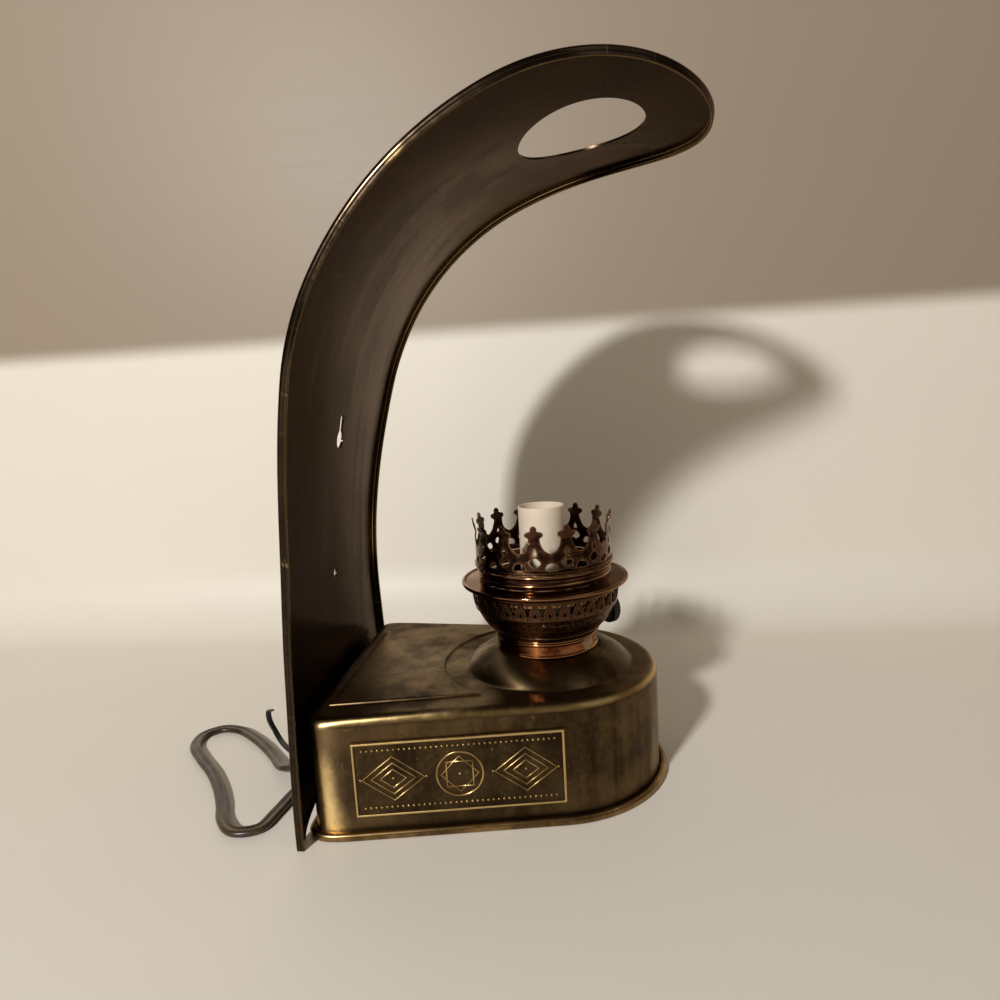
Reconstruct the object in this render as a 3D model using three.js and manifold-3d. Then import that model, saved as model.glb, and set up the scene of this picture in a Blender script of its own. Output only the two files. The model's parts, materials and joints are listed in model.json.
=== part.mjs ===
// Brass lamp in the shape of an old oil lamp, wired for a small candle bulb.
// Millimetres, +Z up, the table at z = 0 and the burner's axis on x = y = 0.
// The reservoir's nose points to -Y and the back plate stands towards +Y.
import * as THREE from "three";
import { mergeVertices } from "three/addons/utils/BufferGeometryUtils.js";
import Module from "manifold-3d";

const wasm = await Module();
wasm.setup();

const DEGREE = Math.PI / 180;
const FULL_TURN = 2 * Math.PI;
const QUARTER_TURN = Math.PI / 2;

// Clearance between pieces that touch, and how far a cutter passes the faces it cuts
const gap = 0.3;
const overrun = 2;

// Sides of a round piece, by its size
const wideSides = 32;
const middleSides = 20;
const smallSides = 12;

// Back plate, measured along the sheet from its foot
const plateBack = 92.5;
const plateSheet = 1;
const flangeDepth = 3.4;
const footWidth = 128;
const waistWidth = 114;
const headWidth = 142;
const waistAt = 95;
const headAt = 200;
const tipFrom = 283;
const tipLength = 81;
const leanFrom = 62;
const leanRadius = 430;
const curlFrom = 170;
const curlRadius = 123;
const ventAt = 314;
const ventWidth = 52;
const ventLength = 50;
const keyholeAt = 146.5;
const keyholeRadius = 4;
const keySlotWidth = 4.2;
const keySlotTop = 6.5;
const fixingHoleAt = 88;
const fixingHoleRadius = 1.9;
const archHalfWidth = 56;
const archHeight = 11;

// Base plate with its rolled rim
const baseThickness = 0.9;
const rimReach = 3;
const rimHeight = 3.4;
const rimRound = 0.9;
const rimLip = 0.5;

// Reservoir shell
const noseRadius = 45.5;
const taper = 7.8 * DEGREE;
const cornerRadius = 6;
const reservoirHeight = 47;
const shellWall = 0.8;
const shoulderRadius = 4;
const domeFootRadius = 34.5;
const domeTopRadius = 21.9;
const domeBulgeRadius = 29.8;
const domeBulgeHeight = 5.1;
const domeHeight = 7.6;
const neckHoleRadius = 19;
const fieldRise = 0.8;
const fieldInset = 12.5;
const fieldFrontRadius = 44;
const fieldBackMargin = 6.2;

// Side panels
const panelLength = 78.5;
const panelHeight = 29;
const panelFoot = 8.8;
const panelFrontAt = -0.5;
const panelSheet = 0.5;
const panelFrameWidth = 1;
const panelFrameRise = 0.7;

// Screws, nuts and spacers that hold the shell to the back plate
const plateScrewX = 36;
const plateScrewLow = 14;
const plateScrewHigh = 38;
const plateScrewRadius = 1.5;
const plateScrewHeadRadius = 2.8;
const plateScrewHead = 1.2;
const plateScrewPast = 0.8;
const screwSlotWidth = 0.7;
const screwSlotDepth = 0.6;
const plateNutFlats = 5.5;
const plateNutHeight = 2.4;
const spacerRadius = 3.4;

// Threaded neck collar on the dome
const collarRadius = 21.5;
const collarWall = 1.1;
const collarHeight = 6.1;
const collarFloor = 0.6;
const collarSpigotWall = 0.8;
const collarSpigotDepth = 2.4;

// Burner base: a threaded cup with a bead that stands on the collar
const burnerCupWall = 1.2;
const burnerBeadRadius = 22.2;
const burnerBeadHeight = 1;
const burnerBeadRound = 0.3;
const burnerFloorRise = 1.5;
const burnerFloor = 0.8;
const burnerLipHeight = 1.5;
const burnerLipWall = 1;
const leadHoleRadius = 1.5;

// Burner basket
const basketFootRadius = 22.8;
const basketTopRadius = 30.8;
const basketHeight = 19.9;
const basketWall = 0.6;
const basketOutlineShares = [
  [0, 0],
  [0.05, 0.05],
  [0.35, 0.17],
  [0.675, 0.375],
  [0.93, 0.66],
  [1, 0.775],
  [1, 1],
];
const dropShares = [
  [0, -1],
  [1, 0.3],
  [0, 1],
  [-1, 0.3],
];
const basketHoleCount = 33;
const basketHoleWidth = 2.8;
const basketHoleHeight = 4.2;
const basketHoleRise = 14.9;

// Gallery: flange, ring and crown
const galleryRadius = 35;
const galleryBeadRadius = 0.9;
const galleryBeadRise = 0.7;
const galleryGroove = 0.1;
const gallerySeatRadius = 27.6;
const gallerySeatRise = 1.8;
const galleryInnerRadius = 25.8;
const gallerySheet = 0.8;
const gallerySpigotDepth = 4.3;
const gallerySpigotWall = 0.8;
const galleryRingWall = 0.7;
const galleryRingHeight = 5.3;
const galleryRingStep = 0.5;
const galleryRingStepRise = 1.6;
const galleryRingLipRadius = 28.5;
const galleryRingLip = 0.7;
const crownRadius = 28.3;
const crownWall = 0.6;
const crownHeight = 20;
const crownBeadReach = 0.6;
const crownBeadHeight = 1.7;
const crownBeadRound = 0.3;
const prongCount = 14;
const firstProng = 176 * DEGREE;
const prongHeight = 11;
const prongCurl = 0.8;
const prongGapShares = [
  [0, 0],
  [0.32, 0.1],
  [0.56, 0.24],
  [0.62, 0.51],
  [0.44, 0.71],
  [0.79, 0.83],
  [0.8, 0.92],
  [1.02, 1.02],
  [1.02, 1.4],
];
const tearRise = 9.8;
const tearWidth = 1.7;
const tearHeight = 2.7;
const heartRise = 5.6;
const heartWidth = 4.4;
const heartHeight = 4.2;

// Candle sleeve, its cup and the threaded tube that carries them
const sleeveRadius = 9.65;
const sleeveWall = 0.75;
const sleeveHeight = 44.7;
const cupRadius = 10.6;
const cupThickness = 0.8;
const cupRise = 11;
const nippleRadius = 5;
const nippleWall = 1.1;
const nipplePast = 0.6;
const nippleNutFlats = 14;
const nippleNutHeight = 2.8;

// Lampholder
const holderRadius = 8.5;
const holderWall = 0.8;
const holderHeight = 29;
const holderFloor = 3;
const holderLedgeRise = 7.4;
const holderLedge = 0.8;
const coreThickness = 3;
const holderShellWall = 0.5;
const holderShellHeight = 17.2;
const contactRadius = 2.4;
const contactThickness = 0.5;
const contactHeight = 1.9;
const contactTipRadius = 1.2;
const terminalX = 4.5;
const terminalRadius = 1;
const terminalHeadRadius = 1.8;
const terminalHead = 1;

// Rotary switch on the wick knob's spindle
const knobAngle = -55 * DEGREE;
const spindleRise = 1;
const switchFrom = 8.8;
const switchLength = 8.7;
const switchRadius = 4.2;
const bushRadius = 1.8;
const bushPast = 0.8;
const spindleRadius = 0.95;
const spindlePast = 0.6;
const switchNutFlats = 5;
const switchNutHeight = 1.8;
const knobClearance = 2.6;
const knobRadius = 7;
const knobThickness = 4;
const knobRound = 0.6;

// Inner leads, one round core each
const leadRadius = 0.8;
const leadSides = 6;
const liveRoute = [
  [-12.7, 83.6, 6.2],
  [-12, 76, 6],
  [-5, 52, 7.5],
  [6, 26, 18],
  [12, 6, 34],
  [13.4, -0.7, 47],
  [13.4, -1.2, 54],
  [13.4, -1.2, 58.5],
  [13.1, -3.3, 61.4],
  [11.4, -7.1, 62.9],
];
const switchedRoute = [
  [3.2, -14.4, 63.2],
  [3, -14.8, 60],
  [3, -14.8, 55],
  [2.9, -13.1, 49.6],
  [2.3, -6.7, 46.4],
  [1.4, -1.4, 47.6],
  [1.4, 0, 51.5],
  [1.4, 0, 58],
  [1.4, 0, 66],
  [1.4, 0, 71.4],
  [1.9, 0, 73.4],
  [3.2, 0, 74.5],
  [4.6, 0, 74.6],
];
const neutralRoute = [
  [-15.3, 83.6, 6.2],
  [-15.3, 76, 6],
  [-12, 50, 7],
  [-5.5, 22, 16],
  [-2, 5, 32],
  [-1.4, 0.3, 45],
  [-1.4, 0, 52],
  [-1.4, 0, 60],
  [-1.4, 0, 71.4],
  [-1.9, 0, 73.4],
  [-3.2, 0, 74.5],
  [-4.6, 0, 74.6],
];

// Gland, flat twin flex, ties and plug
const glandX = -14;
const glandZ = 6.2;
const glandHalfWidth = 4.3;
const glandHalfHeight = 2.4;
const glandEndHalfWidth = 3.4;
const glandEndHalfHeight = 1.9;
const glandCollarHalfWidth = 5.6;
const glandCollarHalfHeight = 3.4;
const glandCollar = 1.6;
const glandEnd = 105.5;
const flexHalfWidth = 2.6;
const flexHalfHeight = 1.3;
const flexShares = [
  [1, -0.42],
  [1, 0.42],
  [0.62, 1],
  [-0.62, 1],
  [-1, 0.42],
  [-1, -0.42],
  [-0.62, -1],
  [0.62, -1],
];
const coilSectionShares = [
  [1, 0],
  [0.62, 1],
  [-0.62, 1],
  [-1, 0],
  [-0.62, -1],
  [0.62, -1],
];
const flexStep = 10.4;
const runRoute = [
  [-14, 105.8, 6.1],
  [-14, 111, 5.6],
  [-13, 116, 4.4],
  [-8.5, 121, 2.3],
  [0.9, 128.2, 1.4],
  [12.1, 138.6, 1.4],
  [21.2, 148.9, 1.4],
  [27.5, 158.2, 1.4],
  [28.8, 167.5, 1.4],
  [22.5, 174.2, 1.4],
  [12, 173, 1.4],
  [0, 163.5, 1.4],
  [-12, 152, 1.4],
  [-24.8, 142, 1.4],
  [-36.5, 134.5, 1.4],
  [-47.5, 128.5, 1.4],
  [-54.6, 120.5, 1.4],
  [-52.6, 111.5, 1.4],
  [-43, 109.2, 1.4],
  [-30, 107.4, 1.4],
  [-10, 103.8, 1.4],
  [15, 103, 1.4],
  [40, 103, 1.4],
  [64, 103, 1.4],
  [82, 101.2, 1.7],
  [92, 100.5, 2.3],
  [98.5, 100.5, 2.3],
];
const tailRoute = [
  [66.5, 68.5, 5.65],
  [66.5, 76, 5.6],
  [66.5, 88, 5],
  [67, 101, 4.8],
  [69, 112, 2.6],
  [74, 122, 2.6],
  [80, 129.6, 5],
  [86, 132, 6.75],
  [91.6, 132, 6.85],
];
const coilX = 104;
const coilY = 63;
const coilInnerRadius = 18.3;
const coilPitch = 5.7;
const coilLowZ = 2.3;
const coilLayer = 3.35;
const coilHalfTurns = 3.375;
const coilStepsPerTurn = 24;
const coilTieThickness = 0.6;
const coilTieWidth = 4;
const coilTieClearance = 0.5;
const tieZ = 5.5;
const tieY = 110.6;
const tieThickness = 0.7;
const tieWidth = 2.5;
const tieClearance = 1;
const tieHead = 3;
const tieTailThickness = 1.1;
const tieTailRoute = [
  [-13.6, 111, 9.2],
  [-12.6, 114, 11.6],
  [-9.4, 118, 12.6],
  [-5.4, 121.8, 13.4],
  [-2.6, 125, 16],
  [-0.6, 128, 20],
  [3.2, 130, 22.4],
  [7.6, 130.6, 21.2],
];
const plugX = 102;
const plugY = 132;
const plugLength = 26;
const plugHalfWidth = 17.65;
const plugThickness = 13.7;
const plugShoulder = 9;
const plugShoulderHalfWidth = 8;
const plugNeck = 10;
const plugNeckHalfWidth = 3.4;
const plugNeckHalfHeight = 2.3;
const plugRootHalfWidth = 5.6;
const plugRootHalfHeight = 4.2;
const pinRadius = 2;
const pinLength = 19;
const pinPitch = 18.6;
const pinRound = 0.6;

// Heights and places that follow from the sizes
const plateFront = plateBack - plateSheet;
const shellBack = plateFront - gap - rimReach;
const shellFoot = baseThickness + gap;
const plateNutFace = shellBack - shellWall - gap - plateNutHeight;
const domeTop = reservoirHeight + domeHeight;
const collarFoot = domeTop + gap;
const collarTop = collarFoot + collarHeight;
const collarInner = collarRadius - collarWall;
const burnerCupRadius = collarInner - gap;
const burnerFloorFoot = collarFoot + burnerFloorRise;
const burnerFloorTop = burnerFloorFoot + burnerFloor;
const burnerBeadFoot = collarTop + gap;
const burnerBeadTop = burnerBeadFoot + burnerBeadHeight;
const basketFoot = burnerBeadTop + gap;
const basketTop = basketFoot + basketHeight;
const gallerySeat = basketTop + gap;
const galleryLedge = gallerySeat + gallerySeatRise;
const galleryRingFoot = galleryLedge + gap;
const galleryRingTop = galleryRingFoot + galleryRingHeight;
const galleryRingRadius = gallerySeatRadius - gap / 2;
const crownFoot = galleryRingTop + gap;
const crownTop = crownFoot + crownHeight;
const cupFoot = burnerFloorTop + cupRise;
const cupTop = cupFoot + cupThickness;
const holderFoot = cupTop + gap;
const nippleBore = nippleRadius + gap;
const coreFoot = holderFoot + holderLedgeRise + gap;
const coreTop = coreFoot + coreThickness;
const holderBore = holderRadius - holderWall;
const coreRadius = holderBore - gap;
const shellSeat = coreTop + gap;
const spindleZ = basketFoot + spindleRise;
const switchEnd = switchFrom + switchLength;
const bushFrom = switchEnd + gap;
const switchNutFrom = basketRadiusAt(spindleZ + switchNutFlats / 2) + gap;
const bushEnd = switchNutFrom + switchNutHeight + bushPast;
const knobFrom = bushEnd + knobClearance;
const plateScrews = [
  [-plateScrewX, plateScrewLow],
  [plateScrewX, plateScrewLow],
  [-plateScrewX, plateScrewHigh],
  [plateScrewX, plateScrewHigh],
];

// Finishes as colour, roughness and metalness
const agedBrass = [0x6f5230, 0.42, 1];
const brightBrass = [0xa8813f, 0.3, 1];
const copper = [0xa5643a, 0.35, 1];
const bronze = [0x7a4f31, 0.4, 1];
const steel = [0x9a9a98, 0.35, 1];
const whiteSleeve = [0xe9e4d6, 0.6, 0];
const blackPlastic = [0x161514, 0.5, 0];
const ceramic = [0xe4e0d8, 0.5, 0];
const goldFlex = [0x8a6a35, 0.7, 0];
const brownLead = [0x5a3a24, 0.6, 0];
const blueLead = [0x2f4f86, 0.6, 0];

// A closed geometry as a solid, its shared vertices merged and collapsed faces dropped.
function solid(geometry) {
  const bare = new THREE.BufferGeometry();
  bare.setAttribute("position", geometry.getAttribute("position"));
  bare.setIndex(geometry.index);
  const merged = mergeVertices(bare);
  const corners = merged.index.array;
  const kept = [];
  for (let i = 0; i < corners.length; i += 3) {
    const [a, b, c] = corners.slice(i, i + 3);
    if (a !== b && b !== c && c !== a) kept.push(a, b, c);
  }
  const vertProperties = merged.attributes.position.array;
  return new wasm.Manifold(
    new wasm.Mesh({ numProp: 3, vertProperties, triVerts: new Uint32Array(kept) }),
  );
}

// Adds a named mesh of the solid or geometry to the group, with a finish of its own.
function add(group, name, body, [color, roughness, metalness]) {
  let geometry = body;
  if (!body.isBufferGeometry) {
    const { vertProperties, triVerts } = body.getMesh();
    geometry = new THREE.BufferGeometry();
    geometry.setAttribute("position", new THREE.BufferAttribute(vertProperties, 3));
    geometry.setIndex(new THREE.BufferAttribute(triVerts, 1));
  }
  geometry.computeVertexNormals();
  const material = new THREE.MeshStandardMaterial({ color, roughness, metalness, flatShading: true });
  const mesh = new THREE.Mesh(geometry, material);
  mesh.name = name;
  group.add(mesh);
  return mesh;
}

// Evenly spaced values from low to high, both ends included.
const spaced = (low, high, count) =>
  Array.from({ length: count + 1 }, (_, i) => low + ((high - low) * i) / count);

// Points of an oval round the origin.
const oval = (halfWidth, halfHeight, count) =>
  spaced(0, FULL_TURN, count)
    .slice(0, count)
    .map((t) => [halfWidth * Math.cos(t), halfHeight * Math.sin(t)]);

// The corners of a hexagon with the given width across its flats.
const hexagon = (flats) => oval(flats / Math.sqrt(3), flats / Math.sqrt(3), 6);

// Points given as shares of two half sizes.
const scaledShares = (shares, halfWidth, halfHeight) =>
  shares.map(([x, y]) => [x * halfWidth, y * halfHeight]);

const shapeOf = (points) => new THREE.Shape(points.map(([x, y]) => new THREE.Vector2(x, y)));

// A prism of an outline in a frame's XY plane, from low to high along the frame's Z.
function prism(points, low, high, frame = new THREE.Matrix4(), hole = null) {
  const shape = shapeOf(points);
  if (hole) shape.holes.push(shapeOf(hole));
  const geometry = new THREE.ExtrudeGeometry(shape, { depth: high - low, bevelEnabled: false });
  geometry.translate(0, 0, low);
  return solid(geometry.applyMatrix4(frame));
}

// A box between two corners.
const box = ([x0, y0, z0], [x1, y1, z1]) =>
  prism([[x0, y0], [x1, y0], [x1, y1], [x0, y1]], z0, z1);

// A solid turned round Z from [radius, height] points, outer side upwards.
function turned(profile, segments, frame = new THREE.Matrix4()) {
  const points = profile.map(([r, z]) => new THREE.Vector2(r, z));
  if (profile[0][0] > 0) points.push(points[0].clone());
  const geometry = new THREE.LatheGeometry(points, segments);
  geometry.rotateX(QUARTER_TURN);
  return solid(geometry.applyMatrix4(frame));
}

const rod = (radius, low, high, segments, frame) =>
  turned([[0, low], [radius, low], [radius, high], [0, high]], segments, frame);

const pipe = (radius, bore, low, high, segments) =>
  turned([[bore, low], [radius, low], [radius, high], [bore, high]], segments);

// A closed skin through rings of equally many points, with a flat cap on each end.
function loft(rings) {
  const count = rings[0].length;
  const last = (rings.length - 1) * count;
  const index = [];
  for (let row = 0; row < last; row += count) {
    for (let i = 0; i < count; i++) {
      const a = row + i;
      const b = row + ((i + 1) % count);
      index.push(a, b, b + count, a, b + count, a + count);
    }
  }
  for (let i = 1; i + 1 < count; i++) {
    index.push(0, i + 1, i);
    index.push(last, last + i, last + i + 1);
  }
  const geometry = new THREE.BufferGeometry();
  geometry.setAttribute("position", new THREE.Float32BufferAttribute(rings.flat(2), 3));
  geometry.setIndex(index);
  return solid(geometry);
}

// An oval body along Z through stations of [height, half width, half height].
const ovalBody = (stations, count) =>
  loft(stations.map(([z, a, b]) => oval(a, b, count).map(([x, y]) => [x, y, z])));

// A frame at an angle round Z and a height, its own Z pointing away from the axis.
function radialFrame(angle, height) {
  const side = new THREE.Vector3(-Math.sin(angle), Math.cos(angle), 0);
  const up = new THREE.Vector3(0, 0, 1);
  const out = new THREE.Vector3(Math.cos(angle), Math.sin(angle), 0);
  return new THREE.Matrix4().makeBasis(side, up, out).setPosition(0, 0, height);
}

// A frame with its Z along +Y, for pieces whose axis runs through the back plate.
function backwardFrame(x, y, z) {
  return new THREE.Matrix4().makeRotationX(-QUARTER_TURN).setPosition(x, y, z);
}

// A group placed by a frame.
function framedGroup(frame) {
  const group = new THREE.Group();
  group.applyMatrix4(frame);
  return group;
}

// A curve through points whose frames keep a flat section level.
class LevelCurve extends THREE.CatmullRomCurve3 {
  computeFrenetFrames(segments) {
    return levelFrames(this, segments);
  }
}

function levelFrames(curve, segments) {
  const up = new THREE.Vector3(0, 0, 1);
  const frames = { tangents: [], normals: [], binormals: [] };
  for (let i = 0; i <= segments; i++) {
    const tangent = curve.getTangentAt(i / segments);
    const normal = new THREE.Vector3().crossVectors(up, tangent).normalize();
    frames.tangents.push(tangent);
    frames.normals.push(normal);
    frames.binormals.push(new THREE.Vector3().crossVectors(tangent, normal));
  }
  return frames;
}

const vectors = (points) => points.map(([x, y, z]) => new THREE.Vector3(x, y, z));

// A section drawn along a curve in a number of steps.
const swept = (section, extrudePath, steps) =>
  new THREE.ExtrudeGeometry(shapeOf(section), { steps, extrudePath, bevelEnabled: false });

// Place and lean of the back plate's back face at a distance along the sheet.
function plateAt(s) {
  if (s <= leanFrom) return { y: plateBack, z: s, lean: 0 };
  const leanLimit = (Math.min(s, curlFrom) - leanFrom) / leanRadius;
  const y = plateBack - leanRadius * (1 - Math.cos(leanLimit));
  const z = leanFrom + leanRadius * Math.sin(leanLimit);
  if (s <= curlFrom) return { y, z, lean: leanLimit };
  const lean = leanLimit + (s - curlFrom) / curlRadius;
  return {
    y: y - curlRadius * (Math.cos(leanLimit) - Math.cos(lean)),
    z: z + curlRadius * (Math.sin(lean) - Math.sin(leanLimit)),
    lean,
  };
}

// Half the back plate's width at a distance along the sheet, less an inset from its edge.
function plateHalfWidth(s, inset) {
  if (s > tipFrom) {
    const share = Math.min(1, (s - tipFrom) / (tipLength - inset));
    return (headWidth / 2 - inset) * Math.sqrt(1 - share * share);
  }
  const below = s < waistAt;
  const from = below ? footWidth : waistWidth;
  const to = below ? waistWidth : headWidth;
  const share = below ? s / waistAt : Math.min(1, (s - waistAt) / (headAt - waistAt));
  return (from + (to - from) * share * share * (3 - 2 * share)) / 2 - inset;
}

// The part of the bent plate between two depths in front of its back face.
function plateSlab(start, inset, near, far) {
  const tip = tipLength - inset;
  const stations = [
    start,
    ...spaced(0, leanFrom, 3).slice(1),
    ...spaced(leanFrom, curlFrom, 7).slice(1),
    ...spaced(curlFrom, tipFrom, 10).slice(1),
    ...spaced(0, QUARTER_TURN, 12).slice(1).map((t) => tipFrom + tip * Math.sin(t)),
  ];
  const rings = stations.map((s) => {
    const half = plateHalfWidth(s, inset);
    const { y, z, lean } = plateAt(s);
    const at = (x, depth) => [x, y - depth * Math.cos(lean), z - depth * Math.sin(lean)];
    return [at(-half, far), at(half, far), at(half, near), at(-half, near)];
  });
  return loft(rings);
}

// A frame on the plate's back face: X across, Y up the sheet, Z forwards through it.
function plateFrame(s) {
  const { y, z, lean } = plateAt(s);
  const across = new THREE.Vector3(1, 0, 0);
  const along = new THREE.Vector3(0, -Math.sin(lean), Math.cos(lean));
  const through = new THREE.Vector3(0, -Math.cos(lean), -Math.sin(lean));
  return new THREE.Matrix4().makeBasis(across, along, through).setPosition(0, y, z);
}

function backPlate() {
  const past = flangeDepth + overrun;
  const cut = (points, s, depth) => prism(points, -depth, depth, plateFrame(s));
  const slotHalf = keySlotWidth / 2;
  const slotTop = keyholeRadius + keySlotTop - slotHalf;
  const slotEnd = spaced(0, Math.PI, 6).map((t) => [
    slotHalf * Math.cos(t),
    slotTop + slotHalf * Math.sin(t),
  ]);
  let plate = plateSlab(0, 0, 0, flangeDepth)
    .subtract(plateSlab(-overrun, plateSheet, plateSheet, past))
    .subtract(cut(oval(ventWidth / 2, ventLength / 2, 32), ventAt, past * 2))
    .subtract(cut(oval(keyholeRadius, keyholeRadius, 20), keyholeAt, past))
    .subtract(cut([[-slotHalf, 0], [slotHalf, 0], ...slotEnd], keyholeAt, past))
    .subtract(cut(oval(fixingHoleRadius, fixingHoleRadius, 16), fixingHoleAt, past))
    .subtract(cut(oval(archHalfWidth, archHeight, 40), 0, past));
  for (const [x, z] of plateScrews) {
    const hole = backwardFrame(x, plateBack, z);
    plate = plate.subtract(rod(plateScrewRadius + gap, -past, past, smallSides, hole));
  }
  return plate;
}

// The reservoir's plan outline, grown outwards by an offset, at a height.
function planRing(offset, height) {
  const cornerY = shellBack - cornerRadius;
  const cornerX = (noseRadius - cornerRadius + cornerY * Math.sin(taper)) / Math.cos(taper);
  const arc = (x, y, radius, from, to, count) =>
    spaced(from, to, count).map((t) => [
      x + (radius + offset) * Math.cos(t),
      y + (radius + offset) * Math.sin(t),
      height,
    ]);
  return [
    ...arc(0, 0, noseRadius, Math.PI + taper, FULL_TURN - taper, 24),
    ...arc(cornerX, cornerY, cornerRadius, -taper, QUARTER_TURN, 5),
    ...arc(-cornerX, cornerY, cornerRadius, QUARTER_TURN, Math.PI + taper, 5),
  ];
}

// A body with the reservoir's plan through stations of [offset, height].
const planBody = (stations) => loft(stations.map(([offset, z]) => planRing(offset, z)));

function reservoirShell() {
  const round = spaced(0, QUARTER_TURN, 3).map((t) => [
    shoulderRadius * (Math.cos(t) - 1),
    reservoirHeight - shoulderRadius + shoulderRadius * Math.sin(t),
  ]);
  const outside = planBody([[0, shellFoot], ...round]);
  const inside = planBody([
    [-shellWall, shellFoot - overrun],
    ...round.map(([offset, z]) => [offset - shellWall * (z < reservoirHeight), z - shellWall]),
  ]);
  return outside.subtract(inside).add(topField()).subtract(domeOpening()).add(dome())
    .subtract(shellHoles());
}

// The raised field behind the dome, with a front edge concentric with it.
function topField() {
  const sideLine = noseRadius - fieldInset;
  const end = Math.acos(sideLine / fieldFrontRadius) - taper;
  const backY = shellBack - fieldBackMargin;
  const backX = (sideLine + backY * Math.sin(taper)) / Math.cos(taper);
  const front = spaced(Math.PI - end, end, 16).map((t) => [
    fieldFrontRadius * Math.cos(t),
    fieldFrontRadius * Math.sin(t),
  ]);
  const outline = [[backX, backY], [-backX, backY], ...front];
  return prism(outline, reservoirHeight - shellWall / 2, reservoirHeight + fieldRise);
}

const domeOpening = () =>
  rod(domeFootRadius - shellWall, reservoirHeight - overrun, domeTop, wideSides);

// The dome as a ring of sheet from its foot to the hole for the neck collar.
function dome() {
  const curve = new THREE.QuadraticBezierCurve(
    new THREE.Vector2(domeFootRadius, reservoirHeight),
    new THREE.Vector2(domeBulgeRadius, reservoirHeight + domeBulgeHeight),
    new THREE.Vector2(domeTopRadius, domeTop),
  );
  const outer = curve.getPoints(4).map(({ x, y }) => [x, y]);
  const inner = outer.map(([r, z]) => [r - shellWall / 2, z - shellWall]);
  const neck = [[neckHoleRadius, domeTop], [neckHoleRadius, domeTop - shellWall]];
  return turned([...outer, ...neck, ...inner.reverse()], wideSides);
}

// Holes in the shell's back wall for the screws and the gland.
function shellHoles() {
  const depth = shellWall + overrun;
  let holes = prism(
    oval(glandHalfWidth + gap, glandHalfHeight + gap, 20),
    -depth,
    depth,
    backwardFrame(glandX, shellBack, glandZ),
  );
  for (const [x, z] of plateScrews) {
    const hole = backwardFrame(x, shellBack, z);
    holes = holes.add(rod(plateScrewRadius + gap, -depth, depth, smallSides, hole));
  }
  return holes;
}

function basePlate() {
  return planBody([
    [rimReach - rimRound, 0],
    [rimReach, rimRound],
    [rimReach, rimHeight - rimRound],
    [rimReach - rimRound, rimHeight],
    [gap + rimLip, rimHeight],
    [gap, rimHeight - rimLip],
    [gap, baseThickness],
  ]);
}

// A side panel: thin ground with a raised frame, in its own plane.
function sidePanel() {
  const x = panelLength / 2;
  const y = panelHeight / 2;
  const rectangle = (inset) => [
    [inset - x, inset - y],
    [x - inset, inset - y],
    [x - inset, y - inset],
    [inset - x, y - inset],
  ];
  const top = gap + panelSheet + panelFrameRise;
  const frame = prism(rectangle(0), gap, top, undefined, rectangle(panelFrameWidth));
  return prism(rectangle(0), gap, gap + panelSheet).add(frame);
}

// A frame on a side wall at the panel's middle: side is -1 for the left wall, 1 for the right.
function wallFrame(side) {
  const out = new THREE.Vector3(side * Math.cos(taper), -Math.sin(taper), 0);
  const up = new THREE.Vector3(0, 0, 1);
  const along = new THREE.Vector3().crossVectors(up, out);
  const middle = out.clone().multiplyScalar(noseRadius);
  middle.addScaledVector(along, side * (panelFrontAt + panelLength / 2));
  middle.z = panelFoot + panelHeight / 2;
  return new THREE.Matrix4().makeBasis(along, up, out).setPosition(middle);
}

// A pan head screw along Z, its slotted head at the top.
function plateScrew() {
  const length = plateBack + gap - plateNutFace + plateScrewPast;
  const slot = box(
    [-plateScrewHeadRadius - overrun, -screwSlotWidth / 2, plateScrewHead - screwSlotDepth],
    [plateScrewHeadRadius + overrun, screwSlotWidth / 2, plateScrewHead + overrun],
  );
  const profile = [
    [0, -length],
    [plateScrewRadius, -length],
    [plateScrewRadius, 0],
    [plateScrewHeadRadius, 0],
    [plateScrewHeadRadius, plateScrewHead / 2],
    [plateScrewHeadRadius - plateScrewHead / 2, plateScrewHead],
    [0, plateScrewHead],
  ];
  return turned(profile, smallSides).subtract(slot);
}

// A hexagon nut along Z with a plain bore.
const nut = (flats, bore, height) =>
  prism(hexagon(flats), 0, height, undefined, oval(bore, bore, smallSides));

function neckCollar() {
  const spigot = neckHoleRadius - gap;
  return turned(
    [
      [spigot - collarSpigotWall, collarFoot - collarSpigotDepth],
      [spigot, collarFoot - collarSpigotDepth],
      [spigot, collarFoot],
      [collarRadius, collarFoot],
      [collarRadius, collarTop],
      [collarInner, collarTop],
      [collarInner, collarFoot + collarFloor],
      [spigot - collarSpigotWall, collarFoot + collarFloor],
    ],
    wideSides,
  );
}

function burnerBase() {
  const foot = collarFoot + collarFloor + gap;
  const inner = burnerCupRadius - burnerCupWall;
  const lip = basketFootRadius - basketWall - gap;
  const lipTop = burnerBeadTop + burnerLipHeight;
  let cup = turned(
    [
      [nippleBore, burnerFloorFoot],
      [inner, burnerFloorFoot],
      [inner, foot],
      [burnerCupRadius, foot],
      [burnerCupRadius, burnerBeadFoot],
      [burnerBeadRadius - burnerBeadRound, burnerBeadFoot],
      [burnerBeadRadius, burnerBeadFoot + burnerBeadRound],
      [burnerBeadRadius, burnerBeadTop - burnerBeadRound],
      [burnerBeadRadius - burnerBeadRound, burnerBeadTop],
      [lip, burnerBeadTop],
      [lip, lipTop],
      [lip - burnerLipWall, lipTop],
      [lip - burnerLipWall, burnerBeadTop],
      [inner, burnerBeadTop],
      [inner, burnerFloorTop],
      [nippleBore, burnerFloorTop],
    ],
    wideSides,
  );
  for (const [x, y] of [pointBeforeFloor(liveRoute), pointBeforeFloor(switchedRoute)]) {
    const hole = rod(leadHoleRadius, burnerFloorFoot - overrun, burnerFloorTop + overrun, smallSides);
    cup = cup.subtract(hole.translate([x, y, 0]));
  }
  return cup.subtract(bushCutter());
}

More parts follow.
